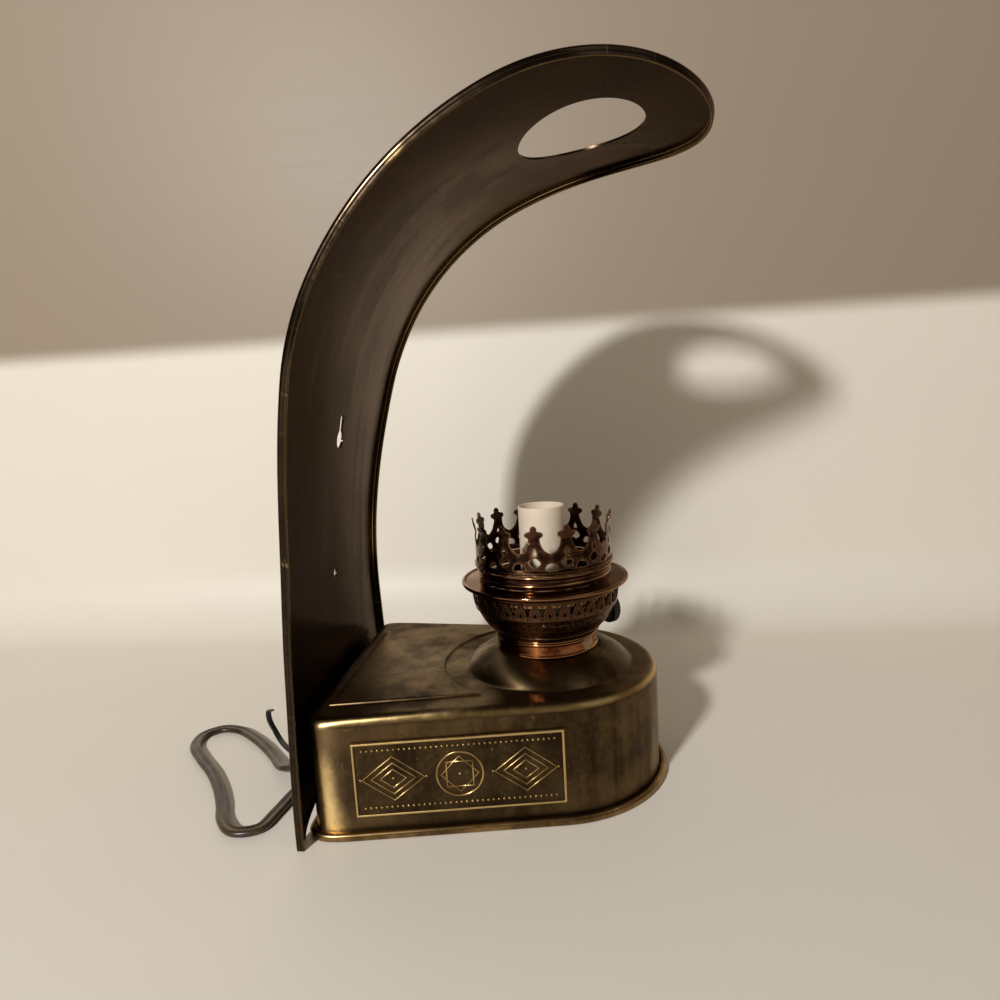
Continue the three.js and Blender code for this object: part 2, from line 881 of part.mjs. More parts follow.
// The last point of a lead's route before it crosses the burner's floor.
function pointBeforeFloor(route) {
  const isAbove = route.map(([, , z]) => z > burnerFloorTop);
  return route[isAbove.findIndex((above, i) => above !== isAbove[i + 1])];
}

// The bush's path through the burner, with its clearance.
function bushCutter() {
  const line = radialFrame(knobAngle, spindleZ);
  return rod(bushRadius + gap, switchEnd, knobFrom, smallSides, line);
}

// The basket's outline as [radius, height], from its foot to its top.
function basketOutline() {
  return basketOutlineShares.map(([out, up]) => [
    basketFootRadius + out * (basketTopRadius - basketFootRadius),
    basketFoot + up * basketHeight,
  ]);
}

// The basket's outer radius at a height.
function basketRadiusAt(height) {
  const outline = basketOutline();
  const above = outline.findIndex(([, z]) => z >= height);
  const [r0, z0] = outline[above - 1];
  const [r1, z1] = outline[above];
  return r0 + ((r1 - r0) * (height - z0)) / (z1 - z0);
}

function burnerBasket() {
  const outer = basketOutline();
  const inner = outer.map(([r, z]) => [r - basketWall, z]).reverse();
  const hole = scaledShares(dropShares, basketHoleWidth / 2, basketHoleHeight / 2);
  const reach = [basketFootRadius - overrun, basketTopRadius + overrun];
  let basket = turned([...outer, ...inner], wideSides);
  for (let i = 0; i < basketHoleCount; i++) {
    const angle = ((i + 0.5) * FULL_TURN) / basketHoleCount;
    const holeFrame = radialFrame(angle, basketFoot + basketHoleRise);
    basket = basket.subtract(prism(hole, ...reach, holeFrame));
  }
  return basket.subtract(bushCutter());
}

function galleryFlange() {
  const spigot = basketTopRadius - basketWall - gap;
  const spigotInner = spigot - gallerySpigotWall;
  const beadR = galleryRadius - galleryBeadRadius;
  const beadZ = gallerySeat + galleryBeadRise;
  const bead = spaced(-120 * DEGREE, 180 * DEGREE, 6).map((t) => [
    beadR + galleryBeadRadius * Math.cos(t),
    beadZ + galleryBeadRadius * Math.sin(t),
  ]);
  return turned(
    [
      [spigotInner, gallerySeat - gallerySpigotDepth],
      [spigot, gallerySeat - gallerySpigotDepth],
      [spigot, gallerySeat],
      ...bead,
      [beadR - galleryBeadRadius, beadZ - galleryGroove],
      [gallerySeatRadius, galleryLedge],
      [galleryInnerRadius, galleryLedge],
      [galleryInnerRadius, galleryLedge - gallerySheet],
      [gallerySeatRadius, galleryLedge - gallerySheet],
      [spigotInner, gallerySeat + gallerySheet / 2],
    ],
    wideSides,
  );
}

function galleryRing() {
  const inner = galleryRingRadius - galleryRingWall;
  const step = galleryRingFoot + galleryRingStepRise;
  return turned(
    [
      [inner, galleryRingFoot],
      [galleryRingRadius, galleryRingFoot],
      [galleryRingRadius, step - galleryRingStep],
      [galleryRingRadius + galleryRingStep, step],
      [galleryRingRadius, step + galleryRingStep],
      [galleryRingRadius, galleryRingTop - galleryRingLip],
      [galleryRingLipRadius, galleryRingTop - galleryRingLip],
      [galleryRingLipRadius, galleryRingTop],
      [inner, galleryRingTop],
    ],
    wideSides,
  );
}

// The crown: a beaded ring whose upper edge is cut into prongs that curl outwards.
function crown() {
  const inner = crownRadius - crownWall;
  const bead = crownRadius + crownBeadReach;
  const beadTop = crownFoot + crownBeadHeight;
  let ring = turned(
    [
      [inner, crownFoot],
      [bead - crownBeadRound, crownFoot],
      [bead, crownFoot + crownBeadRound],
      [bead, beadTop - crownBeadRound],
      [bead - crownBeadRound, beadTop],
      [crownRadius, beadTop],
      [crownRadius, crownTop],
      [inner, crownTop],
    ],
    prongCount * 2,
  );
  const reach = [inner - overrun, bead + overrun];
  const halfPitch = crownRadius * Math.sin(Math.PI / prongCount);
  const right = scaledShares(prongGapShares, halfPitch, prongHeight);
  const left = right.slice(1).map(([x, y]) => [-x, y]).reverse();
  const valley = crownTop - prongHeight;
  const tear = scaledShares(dropShares, tearWidth / 2, tearHeight / 2);
  const heart = scaledShares(dropShares, heartWidth / 2, heartHeight / 2);
  for (let i = 0; i < prongCount; i++) {
    const onProng = firstProng + (i * FULL_TURN) / prongCount;
    const between = onProng + Math.PI / prongCount;
    ring = ring
      .subtract(prism([...right, ...left], ...reach, radialFrame(between, valley)))
      .subtract(prism(tear, ...reach, radialFrame(onProng, crownFoot + tearRise)))
      .subtract(prism(heart, ...reach, radialFrame(onProng, crownFoot + heartRise)));
  }
  return curledProngs(ring, valley);
}

// The crown's mesh with everything above the valleys leaning outwards.
function curledProngs(ring, valley) {
  const { vertProperties, triVerts } = ring.getMesh();
  const places = Float32Array.from(vertProperties);
  for (let i = 0; i < places.length; i += 3) {
    const share = Math.max(0, (places[i + 2] - valley) / prongHeight);
    const stretch = 1 + (prongCurl * share * share) / crownRadius;
    places[i] *= stretch;
    places[i + 1] *= stretch;
  }
  const geometry = new THREE.BufferGeometry();
  geometry.setAttribute("position", new THREE.BufferAttribute(places, 3));
  geometry.setIndex(new THREE.BufferAttribute(triVerts, 1));
  return geometry;
}

function lampholderBody() {
  const ledge = holderFoot + holderLedgeRise;
  const bore = holderRadius - holderWall;
  return turned(
    [
      [nippleBore, holderFoot],
      [holderRadius, holderFoot],
      [holderRadius, holderFoot + holderHeight],
      [bore, holderFoot + holderHeight],
      [bore, ledge],
      [bore - holderLedge, ledge],
      [bore - holderLedge, holderFoot + holderFloor],
      [nippleBore, holderFoot + holderFloor],
    ],
    middleSides,
  );
}

// The ceramic core that carries the contacts, with a hole for each terminal screw.
function lampholderCore() {
  let core = rod(coreRadius, coreFoot, coreTop, middleSides);
  for (const side of [-1, 1]) {
    const hole = rod(terminalRadius + gap, coreFoot - overrun, coreTop + overrun, smallSides);
    core = core.subtract(hole.translate([side * terminalX, 0, 0]));
  }
  return core;
}

const centreContact = () =>
  turned(
    [
      [0, coreTop + gap],
      [contactRadius, coreTop + gap],
      [contactRadius, coreTop + gap + contactThickness],
      [contactTipRadius, coreTop + gap + contactHeight],
      [0, coreTop + gap + contactHeight],
    ],
    smallSides,
  );

// A terminal screw below the core, its head down.
function terminalScrew() {
  const headTop = coreFoot - gap;
  return turned(
    [
      [0, headTop - terminalHead],
      [terminalHeadRadius, headTop - terminalHead],
      [terminalHeadRadius, headTop],
      [terminalRadius, headTop],
      [terminalRadius, coreTop - gap],
      [0, coreTop - gap],
    ],
    smallSides,
  );
}

function knob() {
  const far = knobFrom + knobThickness;
  const bore = spindleRadius + gap;
  return turned(
    [
      [bore, knobFrom],
      [knobRadius - knobRound, knobFrom],
      [knobRadius, knobFrom + knobRound],
      [knobRadius, far - knobRound],
      [knobRadius - knobRound, far],
      [bore, far],
    ],
    middleSides,
  );
}

// A round lead along its route.
function lead(route) {
  const curve = new THREE.CatmullRomCurve3(vectors(route));
  const steps = route.length * 2;
  return swept(oval(leadRadius, leadRadius, leadSides), curve, steps);
}

// The flat flex along its route, a step every two widths.
function flex(route) {
  const curve = new LevelCurve(vectors(route));
  const steps = Math.round(curve.getLength() / flexStep);
  return swept(scaledShares(flexShares, flexHalfWidth, flexHalfHeight), curve, steps);
}

// The coil's centre line: in through the lower layer and out again through the upper one.
class CoilCurve extends THREE.Curve {
  constructor() {
    super();
    this.spiralSteps = 2 * coilHalfTurns * coilStepsPerTurn;
    this.steps = this.spiralSteps + 2;
  }

  spiral(turn) {
    const angle = QUARTER_TURN - FULL_TURN * (turn + coilHalfTurns);
    const radius = coilInnerRadius + coilPitch * Math.abs(turn);
    const climbed = THREE.MathUtils.clamp(2 * turn + 0.5, 0, 1);
    return new THREE.Vector3(
      coilX + radius * Math.cos(angle),
      coilY + radius * Math.sin(angle),
      coilLowZ + coilLayer * climbed,
    );
  }

  getPoint(t) {
    const step = t * this.steps - 1;
    const turn = step / coilStepsPerTurn - coilHalfTurns;
    const straight = 2 * flexHalfWidth;
    if (step < 0) return this.spiral(-coilHalfTurns).add(new THREE.Vector3(straight * step, 0, 0));
    if (step <= this.spiralSteps) return this.spiral(turn);
    const past = straight * (step - this.spiralSteps);
    return this.spiral(coilHalfTurns).add(new THREE.Vector3(0, past, 0));
  }

  getPointAt(t) {
    return this.getPoint(t);
  }

  getTangentAt(t) {
    const nudge = 0.1 / this.steps;
    const before = this.getPoint(Math.max(0, t - nudge));
    return this.getPoint(Math.min(1, t + nudge)).sub(before).normalize();
  }

  computeFrenetFrames(segments) {
    return levelFrames(this, segments);
  }
}

// The least distance between turns of the coil, on points of its skin.
function leastGap(curve, section) {
  const frames = levelFrames(curve, curve.steps);
  const rows = frames.tangents.map((_, i) => {
    const centre = curve.getPoint(i / curve.steps);
    return section.flatMap(([x, y], k) => {
      const [nextX, nextY] = section[(k + 1) % section.length];
      return [0, 0.25, 0.5, 0.75].map((share) =>
        centre
          .clone()
          .addScaledVector(frames.normals[i], x + (nextX - x) * share)
          .addScaledVector(frames.binormals[i], y + (nextY - y) * share),
      );
    });
  });
  let least = Infinity;
  for (let i = 0; i < rows.length; i++) {
    for (let j = i + coilStepsPerTurn / 2; j < rows.length; j++) {
      for (const a of rows[i]) {
        for (const b of rows[j]) least = Math.min(least, a.distanceToSquared(b));
      }
    }
  }
  return Math.sqrt(least);
}

function cordCoil() {
  const curve = new CoilCurve();
  const section = scaledShares(coilSectionShares, flexHalfWidth, flexHalfHeight);
  console.log("least gap between the coil's turns", leastGap(curve, section).toFixed(2), "mm");
  return swept(section, curve, curve.steps);
}

// A strap round the coil's turns where they pass on its +X side.
function coilTie() {
  const outermost = coilInnerRadius + coilPitch * (coilHalfTurns - 0.25);
  const clear = flexHalfWidth + coilTieClearance;
  const left = coilInnerRadius - clear;
  const right = outermost + clear;
  const top = coilLowZ + coilLayer + flexHalfHeight + coilTieClearance;
  const t = coilTieThickness;
  const rectangle = (x0, z0, x1, z1) => [[x0, z0], [x1, z0], [x1, z1], [x0, z1]];
  const outside = rectangle(left - t, 0, right + t, top + t);
  const inside = rectangle(left, t, right, top);
  const upright = new THREE.Matrix4().makeRotationX(QUARTER_TURN).setPosition(coilX, coilY, 0);
  return prism(outside, -coilTieWidth / 2, coilTieWidth / 2, upright, inside);
}

// The black tie: a ring round the flex, its head on top and its long tail.
function cordTie() {
  const halfWidth = flexHalfWidth + tieClearance;
  const halfHeight = flexHalfHeight + tieClearance;
  const frame = backwardFrame(glandX, tieY, tieZ);
  const ring = prism(
    oval(halfWidth + tieThickness, halfHeight + tieThickness, 16),
    -tieWidth / 2,
    tieWidth / 2,
    frame,
    oval(halfWidth, halfHeight, 16),
  );
  const headFoot = tieZ + halfHeight + tieThickness / 2;
  const head = box(
    [glandX - tieHead / 2, tieY - tieHead / 2, headFoot],
    [glandX + tieHead / 2, tieY + tieHead / 2, headFoot + tieHead / 2],
  );
  const section = scaledShares(coilSectionShares, tieWidth / 2, tieTailThickness / 2);
  const tail = swept(section, new LevelCurve(vectors(tieTailRoute)), tieTailRoute.length * 2);
  return ring.add(head).add(solid(tail));
}

// The gland along its own axis, from its collar inside the shell to the flex.
function cordGland() {
  const collarFace = shellBack - shellWall - gap;
  return ovalBody(
    [
      [collarFace - glandCollar, glandCollarHalfWidth, glandCollarHalfHeight],
      [collarFace, glandCollarHalfWidth, glandCollarHalfHeight],
      [collarFace, glandHalfWidth, glandHalfHeight],
      [plateBack, glandHalfWidth, glandHalfHeight],
      [glandEnd, glandEndHalfWidth, glandEndHalfHeight],
    ],
    smallSides,
  );
}

// The plug's body in its own frame: flex towards -Z, pins towards +Z.
function plugBody() {
  const neck = ovalBody(
    [
      [-plugNeck, plugNeckHalfWidth, plugNeckHalfHeight],
      [plugShoulder / 2, plugRootHalfWidth, plugRootHalfHeight],
    ],
    smallSides,
  );
  const outline = [
    [-plugShoulderHalfWidth, 0],
    [plugShoulderHalfWidth, 0],
    [plugHalfWidth, plugShoulder],
    [plugHalfWidth, plugLength],
    [-plugHalfWidth, plugLength],
    [-plugHalfWidth, plugShoulder],
  ];
  const flat = new THREE.Matrix4().makeRotationX(QUARTER_TURN);
  return prism(outline, -plugThickness / 2, plugThickness / 2, flat).add(neck);
}

const plugPin = () =>
  turned(
    [
      [0, plugLength + gap],
      [pinRadius, plugLength + gap],
      [pinRadius, plugLength + pinLength - pinRound],
      [pinRadius - pinRound, plugLength + pinLength],
      [0, plugLength + pinLength],
    ],
    smallSides,
  );

const lamp = new THREE.Group();

// Stand: back plate, base and what fastens them
add(lamp, "back_plate", backPlate(), agedBrass);
add(lamp, "base_plate", basePlate(), agedBrass);
add(lamp, "reservoir_shell", reservoirShell(), agedBrass);
for (const [name, side] of [["left", -1], ["right", 1]]) {
  const wall = framedGroup(wallFrame(side));
  add(wall, `side_panel_${name}`, sidePanel(), brightBrass);
  lamp.add(wall);
}
plateScrews.forEach(([x, z], i) => {
  const place = framedGroup(backwardFrame(x, 0, z));
  const screw = add(place, `plate_screw_${i + 1}`, plateScrew(), steel);
  screw.position.z = plateBack + gap;
  const bore = plateScrewRadius + gap;
  const screwNut = nut(plateNutFlats, bore, plateNutHeight);
  add(place, `plate_nut_${i + 1}`, screwNut, steel).position.z = plateNutFace;
  const spacer = pipe(spacerRadius, bore, shellBack + gap, plateFront - gap, smallSides);
  add(place, `plate_spacer_${i + 1}`, spacer, agedBrass);
  lamp.add(place);
});

// Burner: collar, cup and basket
add(lamp, "neck_collar", neckCollar(), copper);
add(lamp, "burner_base", burnerBase(), bronze);
add(lamp, "burner_basket", burnerBasket(), bronze);

// Gallery, which lifts off as one
const gallery = new THREE.Group();
add(gallery, "gallery_flange", galleryFlange(), bronze);
add(gallery, "gallery_ring", galleryRing(), bronze);
add(gallery, "crown", crown(), bronze);
lamp.add(gallery);

// Threaded tube with its nuts, cup and candle sleeve
const lowerNutFoot = burnerFloorFoot - gap - nippleNutHeight;
const nippleFoot = lowerNutFoot - nipplePast;
const nippleTop = holderFoot + holderFloor + nipplePast;
const nipple = pipe(nippleRadius, nippleRadius - nippleWall, nippleFoot, nippleTop, smallSides);
add(lamp, "nipple", nipple, steel);
const nippleNuts = [
  ["nipple_nut_lower", lowerNutFoot],
  ["nipple_nut_upper", burnerFloorTop + gap],
  ["nipple_nut_cup", cupFoot - gap - nippleNutHeight],
];
for (const [name, foot] of nippleNuts) {
  add(lamp, name, nut(nippleNutFlats, nippleBore, nippleNutHeight), steel).position.z = foot;
}
add(lamp, "sleeve_cup", pipe(cupRadius, nippleBore, cupFoot, cupTop, middleSides), brightBrass);
const sleeveTop = holderFoot + sleeveHeight;
const sleeve = pipe(sleeveRadius, sleeveRadius - sleeveWall, holderFoot, sleeveTop, wideSides);
add(lamp, "candle_sleeve", sleeve, whiteSleeve);

// Lampholder
add(lamp, "lampholder_body", lampholderBody(), blackPlastic);
add(lamp, "lampholder_core", lampholderCore(), ceramic);
const screwShellBore = coreRadius - holderShellWall;
const screwShellTop = shellSeat + holderShellHeight;
const screwShell = pipe(coreRadius, screwShellBore, shellSeat, screwShellTop, middleSides);
add(lamp, "lampholder_shell", screwShell, brightBrass);
add(lamp, "centre_contact", centreContact(), brightBrass);
add(lamp, "terminal_screw_1", terminalScrew(), steel).position.x = -terminalX;
add(lamp, "terminal_screw_2", terminalScrew(), steel).position.x = terminalX;

// Rotary switch and wick knob along the spindle
const spindleLine = framedGroup(radialFrame(knobAngle, spindleZ));
const bush = pipe(bushRadius, spindleRadius + gap, bushFrom, bushEnd, smallSides);
add(spindleLine, "switch_body", rod(switchRadius, switchFrom, switchEnd, middleSides), blackPlastic);
add(spindleLine, "spindle_bush", bush, brightBrass);
const switchNut = nut(switchNutFlats, bushRadius + gap, switchNutHeight);
add(spindleLine, "switch_nut", switchNut, brightBrass).position.z = switchNutFrom;
const spindleEnd = knobFrom + knobThickness + spindlePast;
add(spindleLine, "spindle", rod(spindleRadius, bushFrom, spindleEnd, smallSides), brightBrass);
add(spindleLine, "knob", knob(), blackPlastic);
lamp.add(spindleLine);

// Inner leads
add(lamp, "lead_live", lead(liveRoute), brownLead);
add(lamp, "lead_switched", lead(switchedRoute), brownLead);
add(lamp, "lead_neutral", lead(neutralRoute), blueLead);

// Gland, flex with its coil and ties, and plug
const glandPlace = framedGroup(backwardFrame(glandX, 0, glandZ));
add(glandPlace, "cord_gland", cordGland(), blackPlastic);
lamp.add(glandPlace);
add(lamp, "cord_run", flex(runRoute), goldFlex);
add(lamp, "cord_coil", cordCoil(), goldFlex);
add(lamp, "cord_tail", flex(tailRoute), goldFlex);
add(lamp, "coil_tie", coilTie(), blackPlastic);
add(lamp, "cord_tie", cordTie(), blackPlastic);
const plug = new THREE.Group();
plug.position.set(plugX, plugY, plugThickness / 2);
plug.rotation.set(QUARTER_TURN, QUARTER_TURN, 0);
add(plug, "plug_body", plugBody(), blackPlastic);
add(plug, "plug_pin_1", plugPin(), steel).position.x = -pinPitch / 2;
add(plug, "plug_pin_2", plugPin(), steel).position.x = pinPitch / 2;
lamp.add(plug);

export default lamp;
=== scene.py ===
"""A brass lamp in the shape of an oil lamp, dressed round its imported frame."""
import json
import math

import bmesh
import bpy
from mathutils import Matrix, Vector, kdtree
from mathutils.geometry import delaunay_2d_cdt

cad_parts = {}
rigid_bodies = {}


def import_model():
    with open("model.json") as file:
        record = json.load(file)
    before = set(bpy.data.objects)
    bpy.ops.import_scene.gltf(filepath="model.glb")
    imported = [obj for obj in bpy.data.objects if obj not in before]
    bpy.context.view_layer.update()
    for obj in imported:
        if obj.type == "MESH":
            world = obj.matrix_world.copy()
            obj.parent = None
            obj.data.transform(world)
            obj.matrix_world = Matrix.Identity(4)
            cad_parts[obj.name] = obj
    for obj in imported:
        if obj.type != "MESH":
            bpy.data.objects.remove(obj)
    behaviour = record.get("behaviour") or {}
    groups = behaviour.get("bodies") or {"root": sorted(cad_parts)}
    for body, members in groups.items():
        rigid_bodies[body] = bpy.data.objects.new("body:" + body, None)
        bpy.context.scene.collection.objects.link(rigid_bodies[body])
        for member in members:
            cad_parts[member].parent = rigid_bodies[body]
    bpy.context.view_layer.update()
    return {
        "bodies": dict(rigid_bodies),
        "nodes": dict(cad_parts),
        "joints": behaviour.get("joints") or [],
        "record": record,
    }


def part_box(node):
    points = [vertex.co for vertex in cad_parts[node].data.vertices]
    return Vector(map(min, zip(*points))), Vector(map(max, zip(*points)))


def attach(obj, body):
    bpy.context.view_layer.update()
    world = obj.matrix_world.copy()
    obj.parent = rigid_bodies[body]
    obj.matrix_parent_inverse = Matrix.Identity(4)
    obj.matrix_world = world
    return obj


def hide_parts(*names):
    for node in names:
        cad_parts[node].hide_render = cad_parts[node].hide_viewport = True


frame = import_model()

bl_info = {
    "name": "Brass Lamp",
    "version": (1, 0, 0),
    "blender": (4, 5, 0),
    "location": "View3D > Sidebar > Lamp",
    "description": "Builds the visible pieces of a brass lamp round its frame",
    "category": "Object",
}

# Shapes are worked out in millimetres and made in metres
MM = 0.001
HALF_TURN = math.pi
FULL_TURN = 2 * math.pi

# Back plate, along the sheet from its foot
PLATE_BACK = 92.5
PLATE_SHEET = 1.0
FLANGE_DEPTH = 3.4
FLANGE_CORNER = 1.6
FOOT_WIDTH = 128.0
WAIST_WIDTH = 114.0
HEAD_WIDTH = 142.0
WAIST_AT = 95.0
HEAD_AT = 200.0
TIP_FROM = 283.0
TIP_LENGTH = 81.0
LEAN_FROM = 62.0
LEAN_RADIUS = 430.0
CURL_FROM = 170.0
CURL_RADIUS = 123.0
VENT_AT = 314.0
VENT_HALF_WIDTH = 26.0
VENT_HALF_HEIGHT = 25.0
ARCH_HALF_WIDTH = 56.0
ARCH_RISE = 11.0
KEYHOLE_AT = 146.5
KEYHOLE_RADIUS = 4.0
KEYHOLE_RISE = 6.5
KEYHOLE_SLOT_RADIUS = 2.1
FIXING_HOLE_AT = 88.0
FIXING_HOLE_RADIUS = 1.9
SCREW_HEIGHTS = (14.0, 38.0)
SCREW_ACROSS = 36.0
SCREW_BORE_RADIUS = 1.8

# Reservoir
NOSE_RADIUS = 45.5
TAPER = math.radians(7.8)
CORNER_TIGHT = 5.6
CORNER_SLOW = 90.0
SHELL_BACK = 88.2
SHELL_FOOT = 1.2
RESERVOIR_TOP = 47.0
SHOULDER = 4.0
SHELL_SHEET = 0.8
FIELD_RISE = 0.8
DOME_TOP = 54.6

# Side panels, along the reservoir's walls
PANEL_LENGTH = 78.5
PANEL_HEIGHT = 29.0
PANEL_FOOT = 8.8
PANEL_FRONT = -0.5

# Burner
KNOB_ANGLE = math.radians(-55)
SPINDLE_Z = 63.6
PRONGS = 14
FIRST_PRONG = math.radians(176)
PIERCINGS = 33

# Twin flex, its coil and its ties
FLEX_HALF_HEIGHT = 1.3
RUN_ROUTE = [
    (-14, 105.8, 6.1), (-14, 111, 5.6), (-13, 116, 4.4), (-8.5, 121, 2.3), (0.9, 128.2, 1.4),
    (12.1, 138.6, 1.4), (21.2, 148.9, 1.4), (27.5, 158.2, 1.4), (28.8, 167.5, 1.4),
    (22.5, 174.2, 1.4), (12, 173, 1.4), (0, 163.5, 1.4), (-12, 152, 1.4), (-24.8, 142, 1.4),
    (-36.5, 134.5, 1.4), (-47.5, 128.5, 1.4), (-54.6, 120.5, 1.4), (-52.6, 111.5, 1.4),
    (-43, 109.2, 1.4), (-30, 107.4, 1.4), (-10, 103.8, 1.4), (15, 103, 1.4), (40, 103, 1.4),
    (64, 103, 1.4), (82, 101.2, 1.7), (92, 100.5, 2.3), (98.5, 100.5, 2.3),
]
TAIL_ROUTE = [
    (66.5, 68.5, 5.65), (66.5, 76, 5.6), (66.5, 88, 5), (67, 101, 4.8), (69, 112, 2.6),
    (74, 122, 2.6), (80, 129.6, 5), (86, 132, 6.75), (91.6, 132, 6.85),
]
TIE_TAIL = [
    (-13.6, 111, 9.2), (-12.6, 114, 11.6), (-9.4, 118, 12.6), (-5.4, 121.8, 13.4),
    (-2.6, 125, 16), (-0.6, 128, 20), (3.2, 130, 22.4), (7.6, 130.6, 21.2),
]
CORD_HOLE = (-14.0, 6.2)
TIE_CENTRE = Vector((-14, 110.6, 5.5))
PLUG_AT = Vector((102, 132, 6.85))
COIL_CENTRE = (104.0, 63.0)
COIL_INNER = 18.3
COIL_PITCH = 5.7
COIL_LOW = 2.3
COIL_LAYER = 3.35
COIL_HALF_TURNS = 3.375
COIL_STEPS = 24

# Wear: the bend per metre that gives half of it, and how far an edge spreads it, in metres
HALF_WEAR_BEND = 250
WEAR_REACH = 0.0004

# Stage
CAMERA_TURN = (6.25, 8.475, -3.345)
SENSOR_WIDTH = 36
LENS = 36 * 0.70092
LIT_POINT = Vector((0, 0.02, 0.1))
FLOOR_FRONT = -1600
FLOOR_FLAT_TO = 152
FLOOR_BEND = 46
FLOOR_HALF_WIDTH = 1800
WALL_HEIGHTS = (200, 400, 800)
# Heights in metres over which the backdrop turns to its painted shadow colour
SHADED_FROM = 0.197
SHADED_TO = 0.213


# Node trees


class Value:
    """A node's output that can be used in sums."""

    def __init__(self, nodes, socket):
        self.nodes = nodes
        self.socket = socket

    def sum(self, operation, first, second):
        return self.nodes.node("ShaderNodeMath", {"operation": operation}, {0: first, 1: second})

    def __add__(self, other):
        return self.sum("ADD", self, other)

    def __radd__(self, other):
        return self.sum("ADD", other, self)

    def __sub__(self, other):
        return self.sum("SUBTRACT", self, other)

    def __rsub__(self, other):
        return self.sum("SUBTRACT", other, self)

    def __mul__(self, other):
        return self.sum("MULTIPLY", self, other)

    def __rmul__(self, other):
        return self.sum("MULTIPLY", other, self)

    def __truediv__(self, other):
        return self.sum("DIVIDE", self, other)


class Nodes:
    """A node tree that is written as calls."""

    def __init__(self, tree):
        self.tree = tree
        tree.nodes.clear()

    def node(self, kind, settings=None, values=None, output=0):
        made = self.tree.nodes.new(kind)
        for name, value in (settings or {}).items():
            setattr(made, name, value)
        for key, value in (values or {}).items():
            if isinstance(value, Value):
                self.tree.links.new(value.socket, made.inputs[key])
            else:
                made.inputs[key].default_value = value
        return Value(self, made.outputs[output]) if len(made.outputs) else made


def linear(colour):
    """A colour picker's colour as the values that a shader takes."""
    return (*colour[:3], 1)


def darker(colour, share):
    return (*(share * c for c in colour[:3]), 1)


def srgb(text):
    """The linear colour of an sRGB hex number."""
    parts = [int(text[i:i + 2], 16) / 255 for i in (0, 2, 4)]
    return tuple(c / 12.92 if c <= 0.04045 else ((c + 0.055) / 1.055) ** 2.4 for c in parts)


def paint(text):
    """An sRGB hex number as the values that a shader takes."""
    return (*srgb(text), 1)


class Finish(Nodes):
    """A surface finish, made from noise in the piece's own place."""

    def __init__(self, name):
        self.material = bpy.data.materials.new(name)
        self.material.use_nodes = True
        super().__init__(self.material.node_tree)
        self.place = self.node("ShaderNodeTexCoord", output=3)

    def noise(self, size, detail=3.0, stretch=(1, 1, 1), turn=(0, 0, 0), rough=0.5):
        """Cloudy noise whose patches are about size millimetres wide, drawn out along an axis."""
        scale = tuple(1 / (size * MM * s) for s in stretch)
        place = self.node("ShaderNodeMapping", {}, {0: self.place, 2: turn, 3: scale})
        return self.node("ShaderNodeTexNoise", {}, {0: place, 2: 1.0, 3: detail, 4: rough})

    def step(self, value, low, high):
        """A soft step from 0 to 1 as value goes from low to high."""
        settings = {"interpolation_type": "SMOOTHSTEP"}
        return self.node("ShaderNodeMapRange", settings, {0: value, 1: low, 2: high})

    def mix(self, share, first, second):
        return self.node("ShaderNodeMix", {"data_type": "RGBA"}, {0: share, 6: first, 7: second}, 2)

    def attribute(self, name):
        return self.node("ShaderNodeAttribute", {"attribute_name": name}, output=2)

    def height(self):
        return self.node("ShaderNodeSeparateXYZ", {}, {0: self.place}, 2)

    def surface(self, colour, rough, metallic, height, depth, one_sided=False, **constants):
        """Ends the finish in one shader, with the height as a bump of depth millimetres."""
        bump = {"Strength": 1.0, "Distance": depth * MM, "Height": height}
        normal = self.node("ShaderNodeBump", {}, bump)
        values = {"Base Color": colour, "Roughness": rough, "Metallic": metallic, "Normal": normal}
        shader = self.node("ShaderNodeBsdfPrincipled", {}, {**values, **constants})
        if one_sided:
            behind = self.node("ShaderNodeNewGeometry", output=6) * self.node("ShaderNodeLightPath")
            clear = self.node("ShaderNodeBsdfTransparent")
            shader = self.node("ShaderNodeMixShader", {}, {0: behind, 1: shader, 2: clear})
        self.node("ShaderNodeOutputMaterial", {}, {0: shader})
        return self.material


